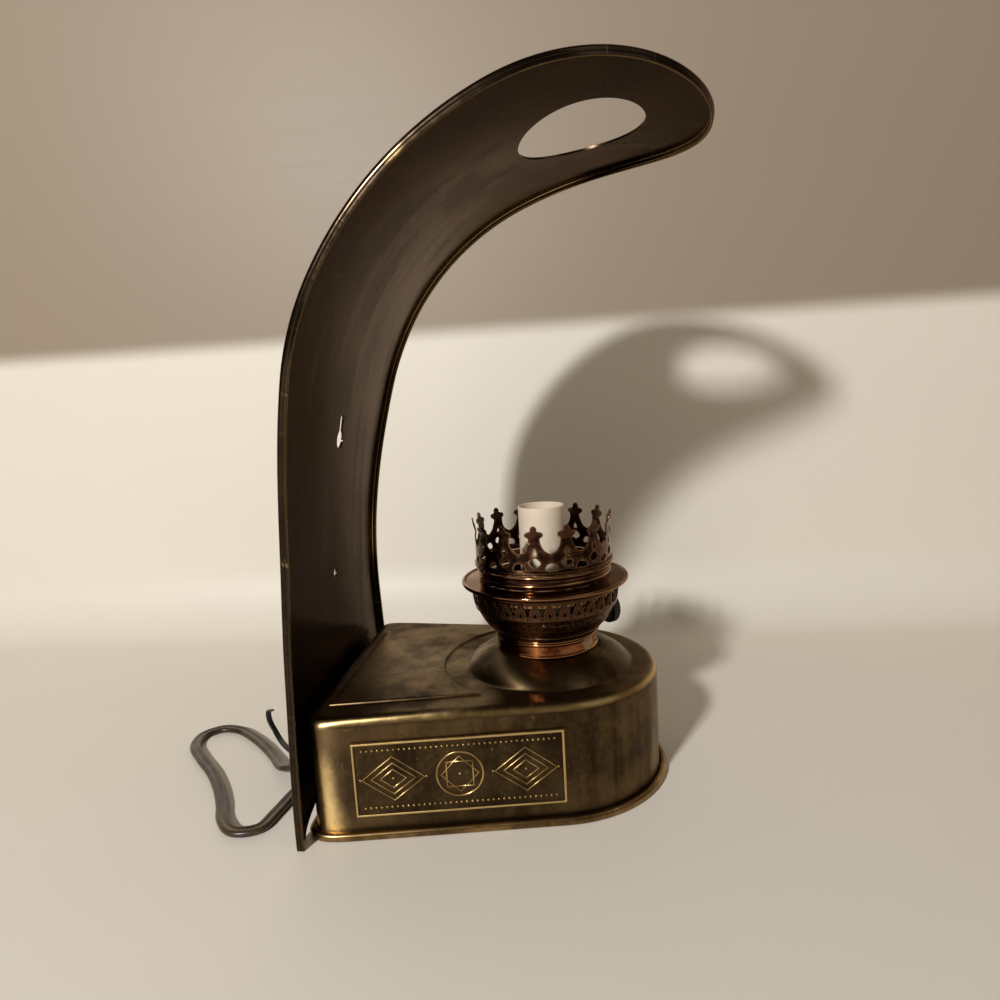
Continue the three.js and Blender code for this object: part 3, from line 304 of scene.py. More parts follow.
def metal(name, base, deep, bright, rough=0.36, patch=26, brush=(1, 1, 24), rub=0.5, grimy=0.6,
          drawn_out=0.85, edge_tint=(1.0, 0.9, 0.78), flat=False, mark=None, depth=0.03):
    """Worn metal: patches of patina, brushed streaks, rubbed edges and dark grooves."""
    made = Finish(name)
    if flat:
        made.place = made.node("ShaderNodeAttribute", {"attribute_name": "flat"}, output=1)
    wear = made.attribute("wear")
    patches = made.noise(patch, 4)
    flecks = made.noise(2.2, 4, rough=0.6)
    bands = made.noise(7, 2, brush)
    brushed = made.noise(0.7, 3, brush)
    grain = made.noise(0.25, 2)
    age = made.step(patches + (flecks - 0.5) * 0.24 + (bands - 0.5) * 0.5, 0.34, 0.7)
    colour = made.mix(age, base, deep)
    rubbed = made.step(wear + (flecks - 0.5) * 0.12 + (patches - 0.5) * 0.2, 0.12, 0.5) * rub
    colour = made.mix(rubbed, colour, bright)
    grime = made.step(wear * -1 + (flecks - 0.5) * 0.3, 0.12, 0.6)
    colour = made.mix(grime * grimy, colour, darker(deep, 0.3))
    scratch = made.step(made.noise(0.35, 1, (1, 60, 9), (0.4, 0.3, 0.9)), 0.72, 0.8)
    nick = made.step(made.noise(0.4, 1, (40, 1, 12), (0.2, 0.7, 0.2)), 0.74, 0.82)
    colour = made.mix((scratch + nick) * 0.2, colour, bright)
    gloss = rough + (flecks - 0.5) * 0.12 + (bands - 0.5) * 0.16 + (age - 0.5) * 0.08 + grime * 0.2
    height = grain * 0.1 + brushed * 0.3 + flecks * 0.35 - (scratch + nick) * 0.2
    if mark:
        point, size, pale = mark
        distance = {"operation": "DISTANCE"}
        reach = made.node("ShaderNodeVectorMath", distance, {0: made.place, 1: point}, 1)
        spot = made.step(reach + (flecks - 0.5) * size, size * 1.1, size * 0.85)
        colour = made.mix(spot, colour, pale)
        gloss = gloss + spot * 0.25
        height = height + spot * 4
    lay = {"Anisotropic": drawn_out, "Anisotropic Rotation": 0.25, "Specular Tint": (*edge_tint, 1)}
    return made.surface(colour, gloss, 1.0, height, depth, **lay)


def moulded(name, base, pale, rough=0.45, grain=0.5):
    """Moulded plastic with a fine grain and rubbed edges."""
    made = Finish(name)
    wear = made.attribute("wear")
    cloud = made.noise(9, 3)
    fine = made.noise(grain, 3)
    rubbed = made.step(wear + (cloud - 0.5) * 0.5, 0.35, 0.9)
    colour = made.mix(rubbed * 0.6 + (cloud - 0.35) * 0.3, base, pale)
    gloss = rough + (cloud - 0.5) * 0.2 + (fine - 0.5) * 0.15
    return made.surface(colour, gloss, 0.0, fine + cloud * 0.4, 0.04)


def rubbed_brass(name, base, deep, patch):
    """Brass that cloths have rubbed pale nearly everywhere; on the panels' raised lines and beads the
    paleness is also a painted highlight.
    """
    pale = linear(bpy.context.scene.lamp_colours.bright_brass)
    return metal(name, paint(base), paint(deep), pale, 0.3, patch, rub=1.0, drawn_out=0.0)


def turned_metal(name, base, deep, bright, rough=0.15, patch=10, **more):
    """Metal with its streaks round the axis."""
    return metal(
        name, linear(base), paint(deep), paint(bright), rough, patch, (30, 30, 1), 0.4,
        drawn_out=0.6, edge_tint=(1.0, 0.88, 0.78), **more,
    )


def gold_flex(base):
    """Clear gold plastic over twisted strands, with a soft sheen along it."""
    made = Finish("gold flex")
    cloud = made.noise(7, 3)
    fine = made.noise(0.6, 3)
    wear = made.attribute("wear")
    strands = made.step(cloud + (fine - 0.5) * 0.4, 0.35, 0.7)
    colour = made.mix(strands, base, paint("20160b"))
    colour = made.mix(made.step(wear, -0.2, -0.7), colour, paint("0f0b06"))
    gloss = 0.34 + (cloud - 0.5) * 0.2
    coat = {"Coat Weight": 0.15, "Coat Roughness": 0.25}
    return made.surface(colour, gloss, 0.0, fine, 0.03, **coat)


# Each finish, made from the colours that the user picked
FINISH_MAKERS = {
    "aged_brass": lambda tone: metal(
        "aged brass", linear(tone.brass), linear(tone.patina), linear(tone.bright_brass), rub=0.85
    ),
    "relief_brass": lambda tone: metal(
        "relief brass", linear(tone.brass), linear(tone.patina), linear(tone.bright_brass),
        rough=0.34, patch=14, rub=0.9, drawn_out=0.0,
    ),
    "plate_brass": lambda tone: metal(
        "plate brass", linear(tone.plate), linear(tone.plate_patina), linear(tone.bright_brass),
        rough=0.21, patch=34, brush=(1, 22, 1), rub=0.6, grimy=0.15, drawn_out=0.0,
        edge_tint=(0.72, 0.65, 0.6), flat=True,
    ),
    "bright_brass": lambda tone: metal(
        "bright brass", paint("a08048"), linear(tone.brass), linear(tone.bright_brass), 0.3
    ),
    # Pale raised lines and beads: partly rubbed brass, partly a painted highlight
    "line_brass_painted_highlight": lambda tone: rubbed_brass("line brass with painted highlight", "c4a66e", "8c7246", 9),
    "rim_brass": lambda tone: rubbed_brass("rim brass", "94784e", "5c482e", 22),
    "copper": lambda tone: turned_metal(
        "copper collar", tone.copper, "5c2c1c", "e8a868", patch=12,
        mark=((-0.0125, -0.0172, 0.059), 0.0034, paint("b9a184")),
    ),
    "bronze": lambda tone: turned_metal("browned bronze", tone.bronze, "2c1b13", "d09a66"),
    "pressed_bronze": lambda tone: turned_metal(
        "pressed bronze", tone.bronze, "1c0f0a", "d8a878", 0.17, 6, depth=0.8
    ),
    "warm_bronze": lambda tone: turned_metal("warm bronze", tone.warm_bronze, "3b241a", "dda873"),
    "steel": lambda tone: metal("zinc steel", paint("a9a8a4"), paint("77756f"), paint("d6d5d0"), 0.34),
    "white_sleeve": lambda tone: moulded(
        "sleeve white", linear(tone.sleeve), paint("fbf8f0"), 0.5, 0.8
    ),
    "white_insulator": lambda tone: moulded(
        "insulator white", paint("d9d3c6"), paint("f1ede4"), 0.55
    ),
    "black_plastic": lambda tone: moulded(
        "black plastic", linear(tone.plastic), paint("3a3733"), 0.42
    ),
    "gold_flex": lambda tone: gold_flex(linear(tone.flex)),
    "brown_lead": lambda tone: moulded("brown lead", paint("5a3a24"), paint("7a5436"), 0.5),
    "blue_lead": lambda tone: moulded("blue lead", paint("2f4f86"), paint("4b6da6"), 0.5),
}

# Finishes made so far, by name
FINISHES = {}


def finish(name):
    """A finish by name, made the first time that it is asked for."""
    if name not in FINISHES:
        FINISHES[name] = FINISH_MAKERS[name](bpy.context.scene.lamp_colours)
    return FINISHES[name]


# Meshes


def spread(low, high, count):
    """Evenly spaced values, both ends included."""
    return [low + (high - low) * i / count for i in range(count + 1)]


def new_object(name, mesh):
    made = bpy.data.objects.new(name, mesh)
    bpy.context.scene.collection.objects.link(made)
    return made


def mesh_object(name, points, faces, edges=(), outwards=True):
    """An object from points in millimetres, its doubles merged and its faces outwards."""
    mesh = bpy.data.meshes.new(name)
    mesh.from_pydata([Vector(p) * MM for p in points], list(edges), faces)
    work = bmesh.new()
    work.from_mesh(mesh)
    bmesh.ops.remove_doubles(work, verts=work.verts, dist=1e-7)
    if faces:
        loose = [v for v in work.verts if not v.link_faces]
        bmesh.ops.delete(work, geom=loose, context="VERTS")
        if outwards:
            bmesh.ops.recalc_face_normals(work, faces=work.faces)
    work.to_mesh(mesh)
    work.free()
    return new_object(name, mesh)


def settle(piece):
    """Turns what the piece's modifiers make into its own mesh."""
    graph = bpy.context.evaluated_depsgraph_get()
    mesh = bpy.data.meshes.new_from_object(piece.evaluated_get(graph))
    piece.modifiers.clear()
    piece.data = mesh
    return piece


def modified(piece, kind, **settings):
    """Adds a modifier and settles it."""
    modifier = piece.modifiers.new(kind.title(), kind)
    for name, value in settings.items():
        setattr(modifier, name, value)
    return settle(piece)


def thickened(piece, wall):
    """Gives an open sheet its wall on the inner side."""
    return modified(piece, "SOLIDIFY", thickness=wall * MM, offset=-1.0, use_even_offset=True)


def eased(piece, width, segments=2, angle=35):
    """Rounds the sharp edges."""
    return modified(piece, "BEVEL", width=width * MM, segments=segments, limit_method="ANGLE",
                    angle_limit=math.radians(angle), use_clamp_overlap=True, miter_outer="MITER_ARC")


def mark_wear(mesh, worn, extra):
    """Writes the wear at each point: above zero on edges, below zero in grooves, and extra's own."""
    work = bmesh.new()
    work.from_mesh(mesh)
    work.verts.ensure_lookup_table()
    turn = [0.0] * len(work.verts)
    area = [1e-12] * len(work.verts)
    for edge in work.edges:
        if len(edge.link_faces) == 2:
            bend = edge.calc_face_angle_signed(0.0) * edge.calc_length() / 4
            for vert in edge.verts:
                turn[vert.index] += bend
    for face in work.faces:
        part = face.calc_area() / len(face.verts)
        for vert in face.verts:
            area[vert.index] += part
    curve = [t / a for t, a in zip(turn, area)]
    near = [
        [(e.other_vert(v).index, 1 / (1 + (e.calc_length() / WEAR_REACH) ** 2)) for e in v.link_edges]
        for v in work.verts
    ]
    for _ in range(2):
        curve = [
            (c + sum(curve[i] * share for i, share in others)) / (1 + sum(s for _, s in others))
            for c, others in zip(curve, near)
        ]
    work.free()
    layer = mesh.attributes.get("wear") or mesh.attributes.new("wear", "FLOAT", "POINT")
    values = [worn * c / (abs(c) + HALF_WEAR_BEND) for c in curve]
    if extra:
        values = [value + extra(vert.co / MM) for value, vert in zip(values, mesh.vertices)]
    layer.data.foreach_set("value", values)


def dress(piece, body, look, *nodes, angle=35, worn=0.0, extra=None):
    """Finishes a piece: shading, wear, material, the body that it rides on and what it replaces."""
    mesh = piece.data
    mesh.shade_smooth()
    mesh.set_sharp_from_angle(angle=math.radians(angle))
    modified(piece, "WEIGHTED_NORMAL", keep_sharp=True)
    mark_wear(piece.data, worn, extra)
    piece.data.materials.clear()
    piece.data.materials.append(finish(look))
    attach(piece, body)
    if nodes:
        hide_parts(*nodes)
    return piece


def lathe(profile, steps, closed=True):
    """Points and faces of a profile of (radius, height) turned round Z."""
    points, faces = [], []
    count = len(profile)
    rows = count if closed else count - 1
    for i in range(steps):
        angle = FULL_TURN * i / steps
        points += [(r * math.cos(angle), r * math.sin(angle), z) for r, z in profile]
        near, far = i * count, (i + 1) % steps * count
        for j in range(rows):
            k = (j + 1) % count
            if profile[j][0] or profile[k][0]:
                faces.append((near + j, far + j, far + k, near + k))
    return points, faces


def rounded(profile, radius, steps=3):
    """A closed profile with its corners rounded."""
    made = []
    count = len(profile)
    for i, corner in enumerate(profile):
        before, after = Vector(profile[i - 1]), Vector(profile[(i + 1) % count])
        here = Vector(corner)
        back, ahead = before - here, after - here
        if here.x == 0 or back.length < 1e-6 or ahead.length < 1e-6 or back.angle(ahead) > 2.9:
            made.append(tuple(here))
            continue
        reach = min(radius, back.length * 0.45, ahead.length * 0.45)
        start, end = here + back.normalized() * reach, here + ahead.normalized() * reach
        for share in spread(0, 1, steps):
            bow = start.lerp(here, share).lerp(here.lerp(end, share), share)
            made.append(tuple(bow))
    return made


def turned(name, profile, radius=0.25, steps=96, place=None):
    """A closed turned piece with rounded corners."""
    points, faces = lathe(rounded(profile, radius), steps)
    if place is not None:
        points = [tuple(place @ Vector(p)) for p in points]
    return mesh_object(name, points, faces)


def radial_place(angle, height):
    """A place at an angle round Z and a height, its own Z pointing away from the axis."""
    side = Vector((-math.sin(angle), math.cos(angle), 0))
    out = Vector((math.cos(angle), math.sin(angle), 0))
    made = Matrix((side, Vector((0, 0, 1)), out)).transposed().to_4x4()
    made.translation = (0, 0, height)
    return made


def skin(rings, capped=True, closed=False):
    """Points and faces of a skin through rings of equally many points."""
    count = len(rings[0])
    points = [p for ring in rings for p in ring]
    faces = []
    for row in range(len(rings) if closed else len(rings) - 1):
        low, high = row * count, (row + 1) % len(rings) * count
        for i in range(count):
            k = (i + 1) % count
            faces.append((low + i, low + k, high + k, high + i))
    if capped and not closed:
        faces.append(tuple(range(count))[::-1])
        faces.append(tuple(range(len(points) - count, len(points))))
    return points, faces


def added(points, faces, more, cells):
    """Puts more points, and the faces between them, at the end of a mesh's lists."""
    start = len(points)
    points += more
    faces += [tuple(start + i for i in cell) for cell in cells]


def arc(radius, start, end, count, centre=(0, 0)):
    """Points of part of a circle, both ends included."""
    return [
        (centre[0] + radius * math.cos(t), centre[1] + radius * math.sin(t))
        for t in spread(start, end, count)
    ]


def circle(radius, count, centre=(0, 0), start=0.0):
    return arc(radius, start, start + FULL_TURN, count, centre)[:-1]


def oval(half_width, half_height, count, power=2.0):
    """Points of an oval, squarer for a higher power."""
    made = []
    for i in range(count):
        c, s = math.cos(FULL_TURN * i / count), math.sin(FULL_TURN * i / count)
        made.append((
            half_width * math.copysign(abs(c) ** (2 / power), c),
            half_height * math.copysign(abs(s) ** (2 / power), s),
        ))
    return made


def interpolated(table, place):
    """The value at a place in a table of (place, value), or an end's value beyond that end."""
    for (before, low), (after, high) in zip(table, table[1:]):
        if place <= after:
            return low + (high - low) * max(0.0, (place - before) / (after - before))
    return table[-1][1]


def within(point, loop):
    """Whether a flat point lies inside a loop."""
    x, y = point
    odd = False
    for (x0, y0), (x1, y1) in zip(loop, [*loop[1:], loop[0]]):
        if (y0 > y) != (y1 > y) and x < x0 + (x1 - x0) * (y - y0) / (y1 - y0):
            odd = not odd
    return odd


def cut_sheet(outline, holes, spacing, rows=None, guard=0.6):
    """Triangles that fill a flat outline round its holes, with evenly spaced points inside."""
    points, edges, rim = [], [], []
    for loop in [outline, *holes]:
        start = len(points)
        points += [Vector(p) for p in loop]
        for i, p in enumerate(loop):
            k = (i + 1) % len(loop)
            edges.append((start + i, start + k))
            here, after = Vector(p), Vector(loop[k])
            pieces = max(1, round((after - here).length / (spacing / 2)))
            rim += [here.lerp(after, j / pieces) for j in range(pieces)]
    for loop in [outline, *holes] if guard else []:
        for i, p in enumerate(loop):
            along = Vector(loop[(i + 1) % len(loop)]) - Vector(loop[i - 1])
            across = Vector((along.y, -along.x)).normalized() * guard
            points += [Vector(p) + across, Vector(p) - across]
    tree = kdtree.KDTree(len(rim))
    for i, p in enumerate(rim):
        tree.insert((p.x, p.y, 0), i)
    tree.balance()
    low_x, high_x = min(p[0] for p in outline), max(p[0] for p in outline)
    low_y, high_y = min(p[1] for p in outline), max(p[1] for p in outline)
    if rows is None:
        rows = spread(low_y, high_y, max(2, round((high_y - low_y) / spacing)))
    for x in spread(low_x, high_x, max(2, round((high_x - low_x) / spacing))):
        for y in rows:
            if tree.find((x, y, 0))[2] > max(spacing * 0.45, guard * 1.3):
                points.append(Vector((x, y)))
    found, _, faces, *_ = delaunay_2d_cdt(points, edges, [], 1, 1e-6)
    kept = []
    for face in faces:
        middle = sum((found[i] for i in face), Vector((0, 0))) / len(face)
        if within(middle, outline) and not any(within(middle, hole) for hole in holes):
            kept.append(tuple(face))
    return [tuple(p) for p in found], kept


def through(route, steps=6):
    """A smooth line through the points of a route, closer where it needs to be."""
    points = [Vector(p) for p in route]
    points = [2 * points[0] - points[1], *points, 2 * points[-1] - points[-2]]
    line = []
    for a, b, c, d in zip(points, points[1:], points[2:], points[3:]):
        t1 = max((b - a).length ** 0.5, 1e-6)
        t2 = t1 + max((c - b).length ** 0.5, 1e-6)
        t3 = t2 + max((d - c).length ** 0.5, 1e-6)
        for i in range(steps):
            t = t1 + (t2 - t1) * i / steps
            ab = a.lerp(b, t / t1)
            bc = b.lerp(c, (t - t1) / (t2 - t1))
            cd = c.lerp(d, (t - t2) / (t3 - t2))
            abc = ab.lerp(bc, t / t2)
            bcd = bc.lerp(cd, (t - t1) / (t3 - t1))
            line.append(abc.lerp(bcd, (t - t1) / (t2 - t1)))
    return [*line, points[-2]]


def drawn(name, section, line):
    """A section of (across, up) points drawn along a line, kept level."""
    rings = []
    for i, here in enumerate(line):
        before, after = line[max(0, i - 1)], line[min(i + 1, len(line) - 1)]
        along = (after - before).normalized()
        across = Vector((0, 0, 1)).cross(along).normalized()
        up = along.cross(across)
        rings.append([here + across * x + up * y for x, y in section])
    return mesh_object(name, *skin(rings))


# Repeated shapes


def recipe(name, inputs, build):
    """A geometry node tree with named inputs. build(nodes, given) returns the geometry."""
    tree = bpy.data.node_groups.new(name, "GeometryNodeTree")
    labels = [("Geometry", "NodeSocketGeometry", None), *inputs, ("Finish", "NodeSocketMaterial", None)]
    for label, kind, default in labels:
        socket = tree.interface.new_socket(name=label, in_out="INPUT", socket_type=kind)
        if default is not None:
            socket.default_value = default
    tree.interface.new_socket(name="Geometry", in_out="OUTPUT", socket_type="NodeSocketGeometry")
    nodes = Nodes(tree)
    start = tree.nodes.new("NodeGroupInput")
    given = {label: Value(nodes, start.outputs[i]) for i, (label, *_) in enumerate(labels)}
    shape = build(nodes, given)
    real = nodes.node("GeometryNodeRealizeInstances", {}, {0: shape})
    merged = nodes.node("GeometryNodeMergeByDistance", {}, {0: real, "Distance": 2e-6})
    painted = nodes.node("GeometryNodeSetMaterial", {}, {0: merged, "Material": given["Finish"]})
    nodes.node("NodeGroupOutput", {}, {0: painted})
    return tree


def ring_of_copies(nodes, given):
    """Copies of the shape turned round Z."""
    count = given["Count"]
    points = nodes.node("GeometryNodePoints", {}, {"Count": count})
    index = nodes.node("GeometryNodeInputIndex")
    turn = nodes.node("ShaderNodeCombineXYZ", {}, {2: given["Start"] + index * FULL_TURN / count})
    values = {"Points": points, "Instance": given["Geometry"], "Rotation": turn}
    return nodes.node("GeometryNodeInstanceOnPoints", {}, values)


def raised_lines(nodes, given):
    """A round ridge along each of the shape's edges."""
    line = nodes.node("GeometryNodeMeshToCurve", {}, {0: given["Geometry"]})
    values = {"Resolution": 8, "Radius": given["Radius"]}
    section = nodes.node("GeometryNodeCurvePrimitiveCircle", {}, values)
    return nodes.node("GeometryNodeCurveToMesh", {}, {0: line, 1: section, "Fill Caps": True})


def beads(nodes, given):
    """A round bead at each of the shape's points."""
    points = nodes.node("GeometryNodeMeshToPoints", {}, {0: given["Geometry"]})
    ball = nodes.node("GeometryNodeMeshUVSphere", {}, {0: 10, 1: 6, 2: given["Radius"]})
    return nodes.node("GeometryNodeInstanceOnPoints", {}, {"Points": points, "Instance": ball})


RADIUS = ("Radius", "NodeSocketFloat", 0.0004)
RING_INPUTS = [("Count", "NodeSocketInt", 14), ("Start", "NodeSocketFloat", 0.0)]
RECIPES = {
    "ring of copies": (ring_of_copies, RING_INPUTS),
    "raised lines": (raised_lines, [RADIUS]),
    "beads": (beads, [RADIUS]),
}


def repeated(piece, kind, look, **values):
    """Runs one of the recipes on the piece, with its inputs given by name."""
    build, inputs = RECIPES[kind]
    tree = bpy.data.node_groups.get(kind) or recipe(kind, inputs, build)
    modifier = piece.modifiers.new(kind, "NODES")
    modifier.node_group = tree
    wanted = {**values, "Finish": finish(look)}
    for item in tree.interface.items_tree:
        if item.in_out == "INPUT" and item.name in wanted:
            modifier[item.identifier] = wanted[item.name]
    settle(piece)
    work = bmesh.new()
    work.from_mesh(piece.data)
    bmesh.ops.recalc_face_normals(work, faces=work.faces)
    work.to_mesh(piece.data)
    work.free()
    return piece


def joined(name, pieces):
    """Several objects' meshes as one object."""
    work = bmesh.new()
    for piece in pieces:
        work.from_mesh(piece.data)
    mesh = bpy.data.meshes.new(name)
    work.to_mesh(mesh)
    work.free()
    for piece in pieces:
        bpy.data.objects.remove(piece)
    return new_object(name, mesh)


def refined(node, name, width, segments=2):
    """A copy of a CAD node with its points merged and its edges eased."""
    mesh = frame["nodes"][node].data.copy()
    work = bmesh.new()
    work.from_mesh(mesh)
    bmesh.ops.remove_doubles(work, verts=work.verts, dist=2e-6)
    bmesh.ops.dissolve_limit(work, angle_limit=math.radians(1), verts=work.verts, edges=work.edges)
    work.to_mesh(mesh)
    work.free()
    return eased(new_object(name, mesh), width, segments)


# The object's own lines


def smooth(share):
    return share * share * (3 - 2 * share)


def plate_at(s):
    """Place and lean of the back plate's back face at a distance along the sheet."""
    if s <= LEAN_FROM:
        return PLATE_BACK, s, 0.0
    limit = (min(s, CURL_FROM) - LEAN_FROM) / LEAN_RADIUS
    y = PLATE_BACK - LEAN_RADIUS * (1 - math.cos(limit))
    z = LEAN_FROM + LEAN_RADIUS * math.sin(limit)
    if s <= CURL_FROM:
        return y, z, limit
    lean = limit + (s - CURL_FROM) / CURL_RADIUS
    return (
        y - CURL_RADIUS * (math.cos(limit) - math.cos(lean)),
        z + CURL_RADIUS * (math.sin(lean) - math.sin(limit)),
        lean,
    )


def plate_point(x, s, depth):
    """The point of the bent plate at a place on the flat sheet and a depth in front of its back."""
    y, z, lean = plate_at(s)
    return x, y - depth * math.cos(lean), z - depth * math.sin(lean)


def flat_place(point):
    """Where a point of the bent plate lies on the flat sheet."""
    limit = (CURL_FROM - LEAN_FROM) / LEAN_RADIUS
    y, z, _ = plate_at(CURL_FROM)
    middle_y = y - CURL_RADIUS * math.cos(limit)
    middle_z = z - CURL_RADIUS * math.sin(limit)
    if point.z <= LEAN_FROM:
        s = point.z
    elif point.z <= z and point.y > middle_y:
        s = LEAN_FROM + LEAN_RADIUS * math.asin(min(1.0, (point.z - LEAN_FROM) / LEAN_RADIUS))
    else:
        lean = math.atan2(point.z - middle_z, point.y - middle_y)
        s = CURL_FROM + (lean - limit) * CURL_RADIUS
    return Vector((point.x, s, point.y * 0.1))


def plate_half_width(s):
    below = s < WAIST_AT
    start, end = (FOOT_WIDTH, WAIST_WIDTH) if below else (WAIST_WIDTH, HEAD_WIDTH)
    share = s / WAIST_AT if below else min(1.0, (s - WAIST_AT) / (HEAD_AT - WAIST_AT))
    return (start + (end - start) * smooth(share)) / 2


def plate_rim():
    """The flat plate's outline from one foot over the tip to the other, with outward directions."""
    right = [(plate_half_width(s), s) for s in spread(0, TIP_FROM, 84)]
    tip = [
        (HEAD_WIDTH / 2 * math.cos(t), TIP_FROM + TIP_LENGTH * math.sin(t))
        for t in spread(0, HALF_TURN, 72)[1:-1]
    ]
    line = [Vector(p) for p in [*right, *tip, *[(-x, s) for x, s in reversed(right)]]]
    made = []
    for i, here in enumerate(line):
        if 0 < i < len(line) - 1:
            along = (line[i + 1] - line[i - 1]).normalized()
        else:
            along = Vector((0, 1 if i == 0 else -1))
        made.append((here, Vector((along.y, -along.x))))
    return made


def corner_curve():
    """The shell's right back corner: the wall bends slowly, then turns. Points and their directions."""
    start, steps = -TAPER, 400
    step = (HALF_TURN / 2 - start) / steps
    here = Vector((0, 0))
    fine = [(here.copy(), start)]
    for i in range(steps):
        angle = start + (i + 0.5) * step
        radius = CORNER_TIGHT + CORNER_SLOW * math.exp((start - angle) / math.radians(6))
        here = here + Vector((-math.sin(angle), math.cos(angle))) * radius * step
        fine.append((here.copy(), start + (i + 1) * step))
    y = SHELL_BACK - here.y
    move = Vector(((NOSE_RADIUS + y * math.sin(TAPER)) / math.cos(TAPER), y))
    chosen = [fine[round(steps * (i / 26) ** 1.9)] for i in range(27)]
    return [(point + move, angle) for point, angle in chosen]


CORNER = corner_curve()


def plan_ring(offset, height):
    """The reservoir's plan outline, grown outwards by an offset, at a height."""
    def side(a, b):
        return [tuple(Vector(a).lerp(Vector(b), i / 12)) for i in range(1, 12)]

    front = arc(NOSE_RADIUS + offset, HALF_TURN + TAPER, FULL_TURN - TAPER, 72)
    nose = [(x, y, height) for x, y in front]
    right = [
        (p.x + offset * math.cos(t), p.y + offset * math.sin(t), height) for p, t in CORNER
    ]
    left = [(-x, y, z) for x, y, z in reversed(right)]
    return [*nose, *side(nose[-1], right[0]), *right, *side(right[-1], left[0]), *left,
            *side(left[-1], nose[0])]


def wall_place(side):
    """A place on a side wall at the panel's middle: side is -1 for the left wall, 1 for the right."""
    out = Vector((side * math.cos(TAPER), -math.sin(TAPER), 0))
    up = Vector((0, 0, 1))
    along = up.cross(out)
    middle = out * NOSE_RADIUS + along * (side * (PANEL_FRONT + PANEL_LENGTH / 2))
    middle.z = PANEL_FOOT + PANEL_HEIGHT / 2
    made = Matrix((along, up, out)).transposed().to_4x4()
    made.translation = middle
    return made


def coil_line():
    """The coil's centre line, in through the lower layer and out through the upper one."""
    line = []
    for i in range(int(2 * COIL_HALF_TURNS * COIL_STEPS) + 1):
        turn = i / COIL_STEPS - COIL_HALF_TURNS
        angle = HALF_TURN / 2 - FULL_TURN * (turn + COIL_HALF_TURNS)
        radius = COIL_INNER + COIL_PITCH * abs(turn)
        climbed = min(1.0, max(0.0, 2 * turn + 0.5))
        line.append(Vector((
            COIL_CENTRE[0] + radius * math.cos(angle),
            COIL_CENTRE[1] + radius * math.sin(angle),
            COIL_LOW + COIL_LAYER * climbed,
        )))
    return line


# Sizes and colours that a user would change


def picked(name, description, text):
    """A colour property with its default as an sRGB hex number."""
    return bpy.props.FloatVectorProperty(
        name=name, description=description, subtype="COLOR", size=3, min=0, max=1, default=srgb(text)
    )


def length(name, description, millimetres):
    return bpy.props.FloatProperty(
        name=name, description=description, subtype="DISTANCE", unit="LENGTH", default=millimetres * MM
    )


def power(name, watts):
    return bpy.props.FloatProperty(
        name=name, description="Power of this light", subtype="POWER", unit="POWER", default=watts
    )


class LampSizes(bpy.types.PropertyGroup):
    """Sizes of the lamp's finer shapes."""

    ridge: length("Ridge", "Half the width of the raised lines on the side panels", 0.42)
    bead: length("Bead", "Radius of the beads on the side panels", 0.55)
    crown_sheet: length("Crown sheet", "Thickness of the crown's sheet", 0.5)
    basket_sheet: length("Basket sheet", "Thickness of the basket's sheet", 0.5)
    flutes: bpy.props.IntProperty(
        name="Flutes", description="Flutes round the wick knob", default=28, min=6
    )


class LampColours(bpy.types.PropertyGroup):
    """Colours of the lamp's finishes."""

    brass: picked("Brass", "Aged brass of the reservoir", "665338")
    patina: picked("Patina", "Darker patches on the brass", "3c2e1f")
    plate: picked("Plate", "Aged brass of the back plate", "43372b")
    plate_patina: picked("Plate patina", "Darker patches on the back plate", "2e251d")
    bright_brass: picked("Bright brass", "Rubbed edges of the brass", "d8b87c")
    copper: picked("Copper", "Neck collar", "a26a42")
    bronze: picked("Bronze", "Burner and crown", "4e3325")
    warm_bronze: picked("Warm bronze", "Gallery flange and ring", "6b4936")
    sleeve: picked("Sleeve", "Candle sleeve", "e2cfb6")
    plastic: picked("Plastic", "Knob, ties and plug", "151413")
    flex: picked("Flex", "Gold twin flex", "46331b")
    floor: picked("Floor", "Floor and the backdrop's foot", "ece4d6")
    shade: picked("Shade", "The backdrop's upper part", "9a8a77")
    # The backdrop's upper part is painted in this darker colour: a painted shadow
    room: picked("Room", "Room that the metal mirrors", "a89682")


class LampStage(bpy.types.PropertyGroup):
    """Camera, light and floor."""

    key: power("Key light", 14.2)
    fill: power("Fill light", 1.2)
    room: bpy.props.FloatProperty(
        name="Room light", description="Strength of the room's light", default=0.3
    )
    eye: bpy.props.FloatVectorProperty(
        name="Eye", description="Camera's place", subtype="TRANSLATION", unit="LENGTH", size=3,
        default=(-0.28848, -0.01463, 0.1601),
    )


def sizes():
    return bpy.context.scene.lamp_sizes


# Operators


class LampOperator(bpy.types.Operator):
    """What all of the lamp's operators share."""

    bl_options = {"REGISTER", "UNDO"}

    def execute(self, context):
        self.build(context)
        return {"FINISHED"}


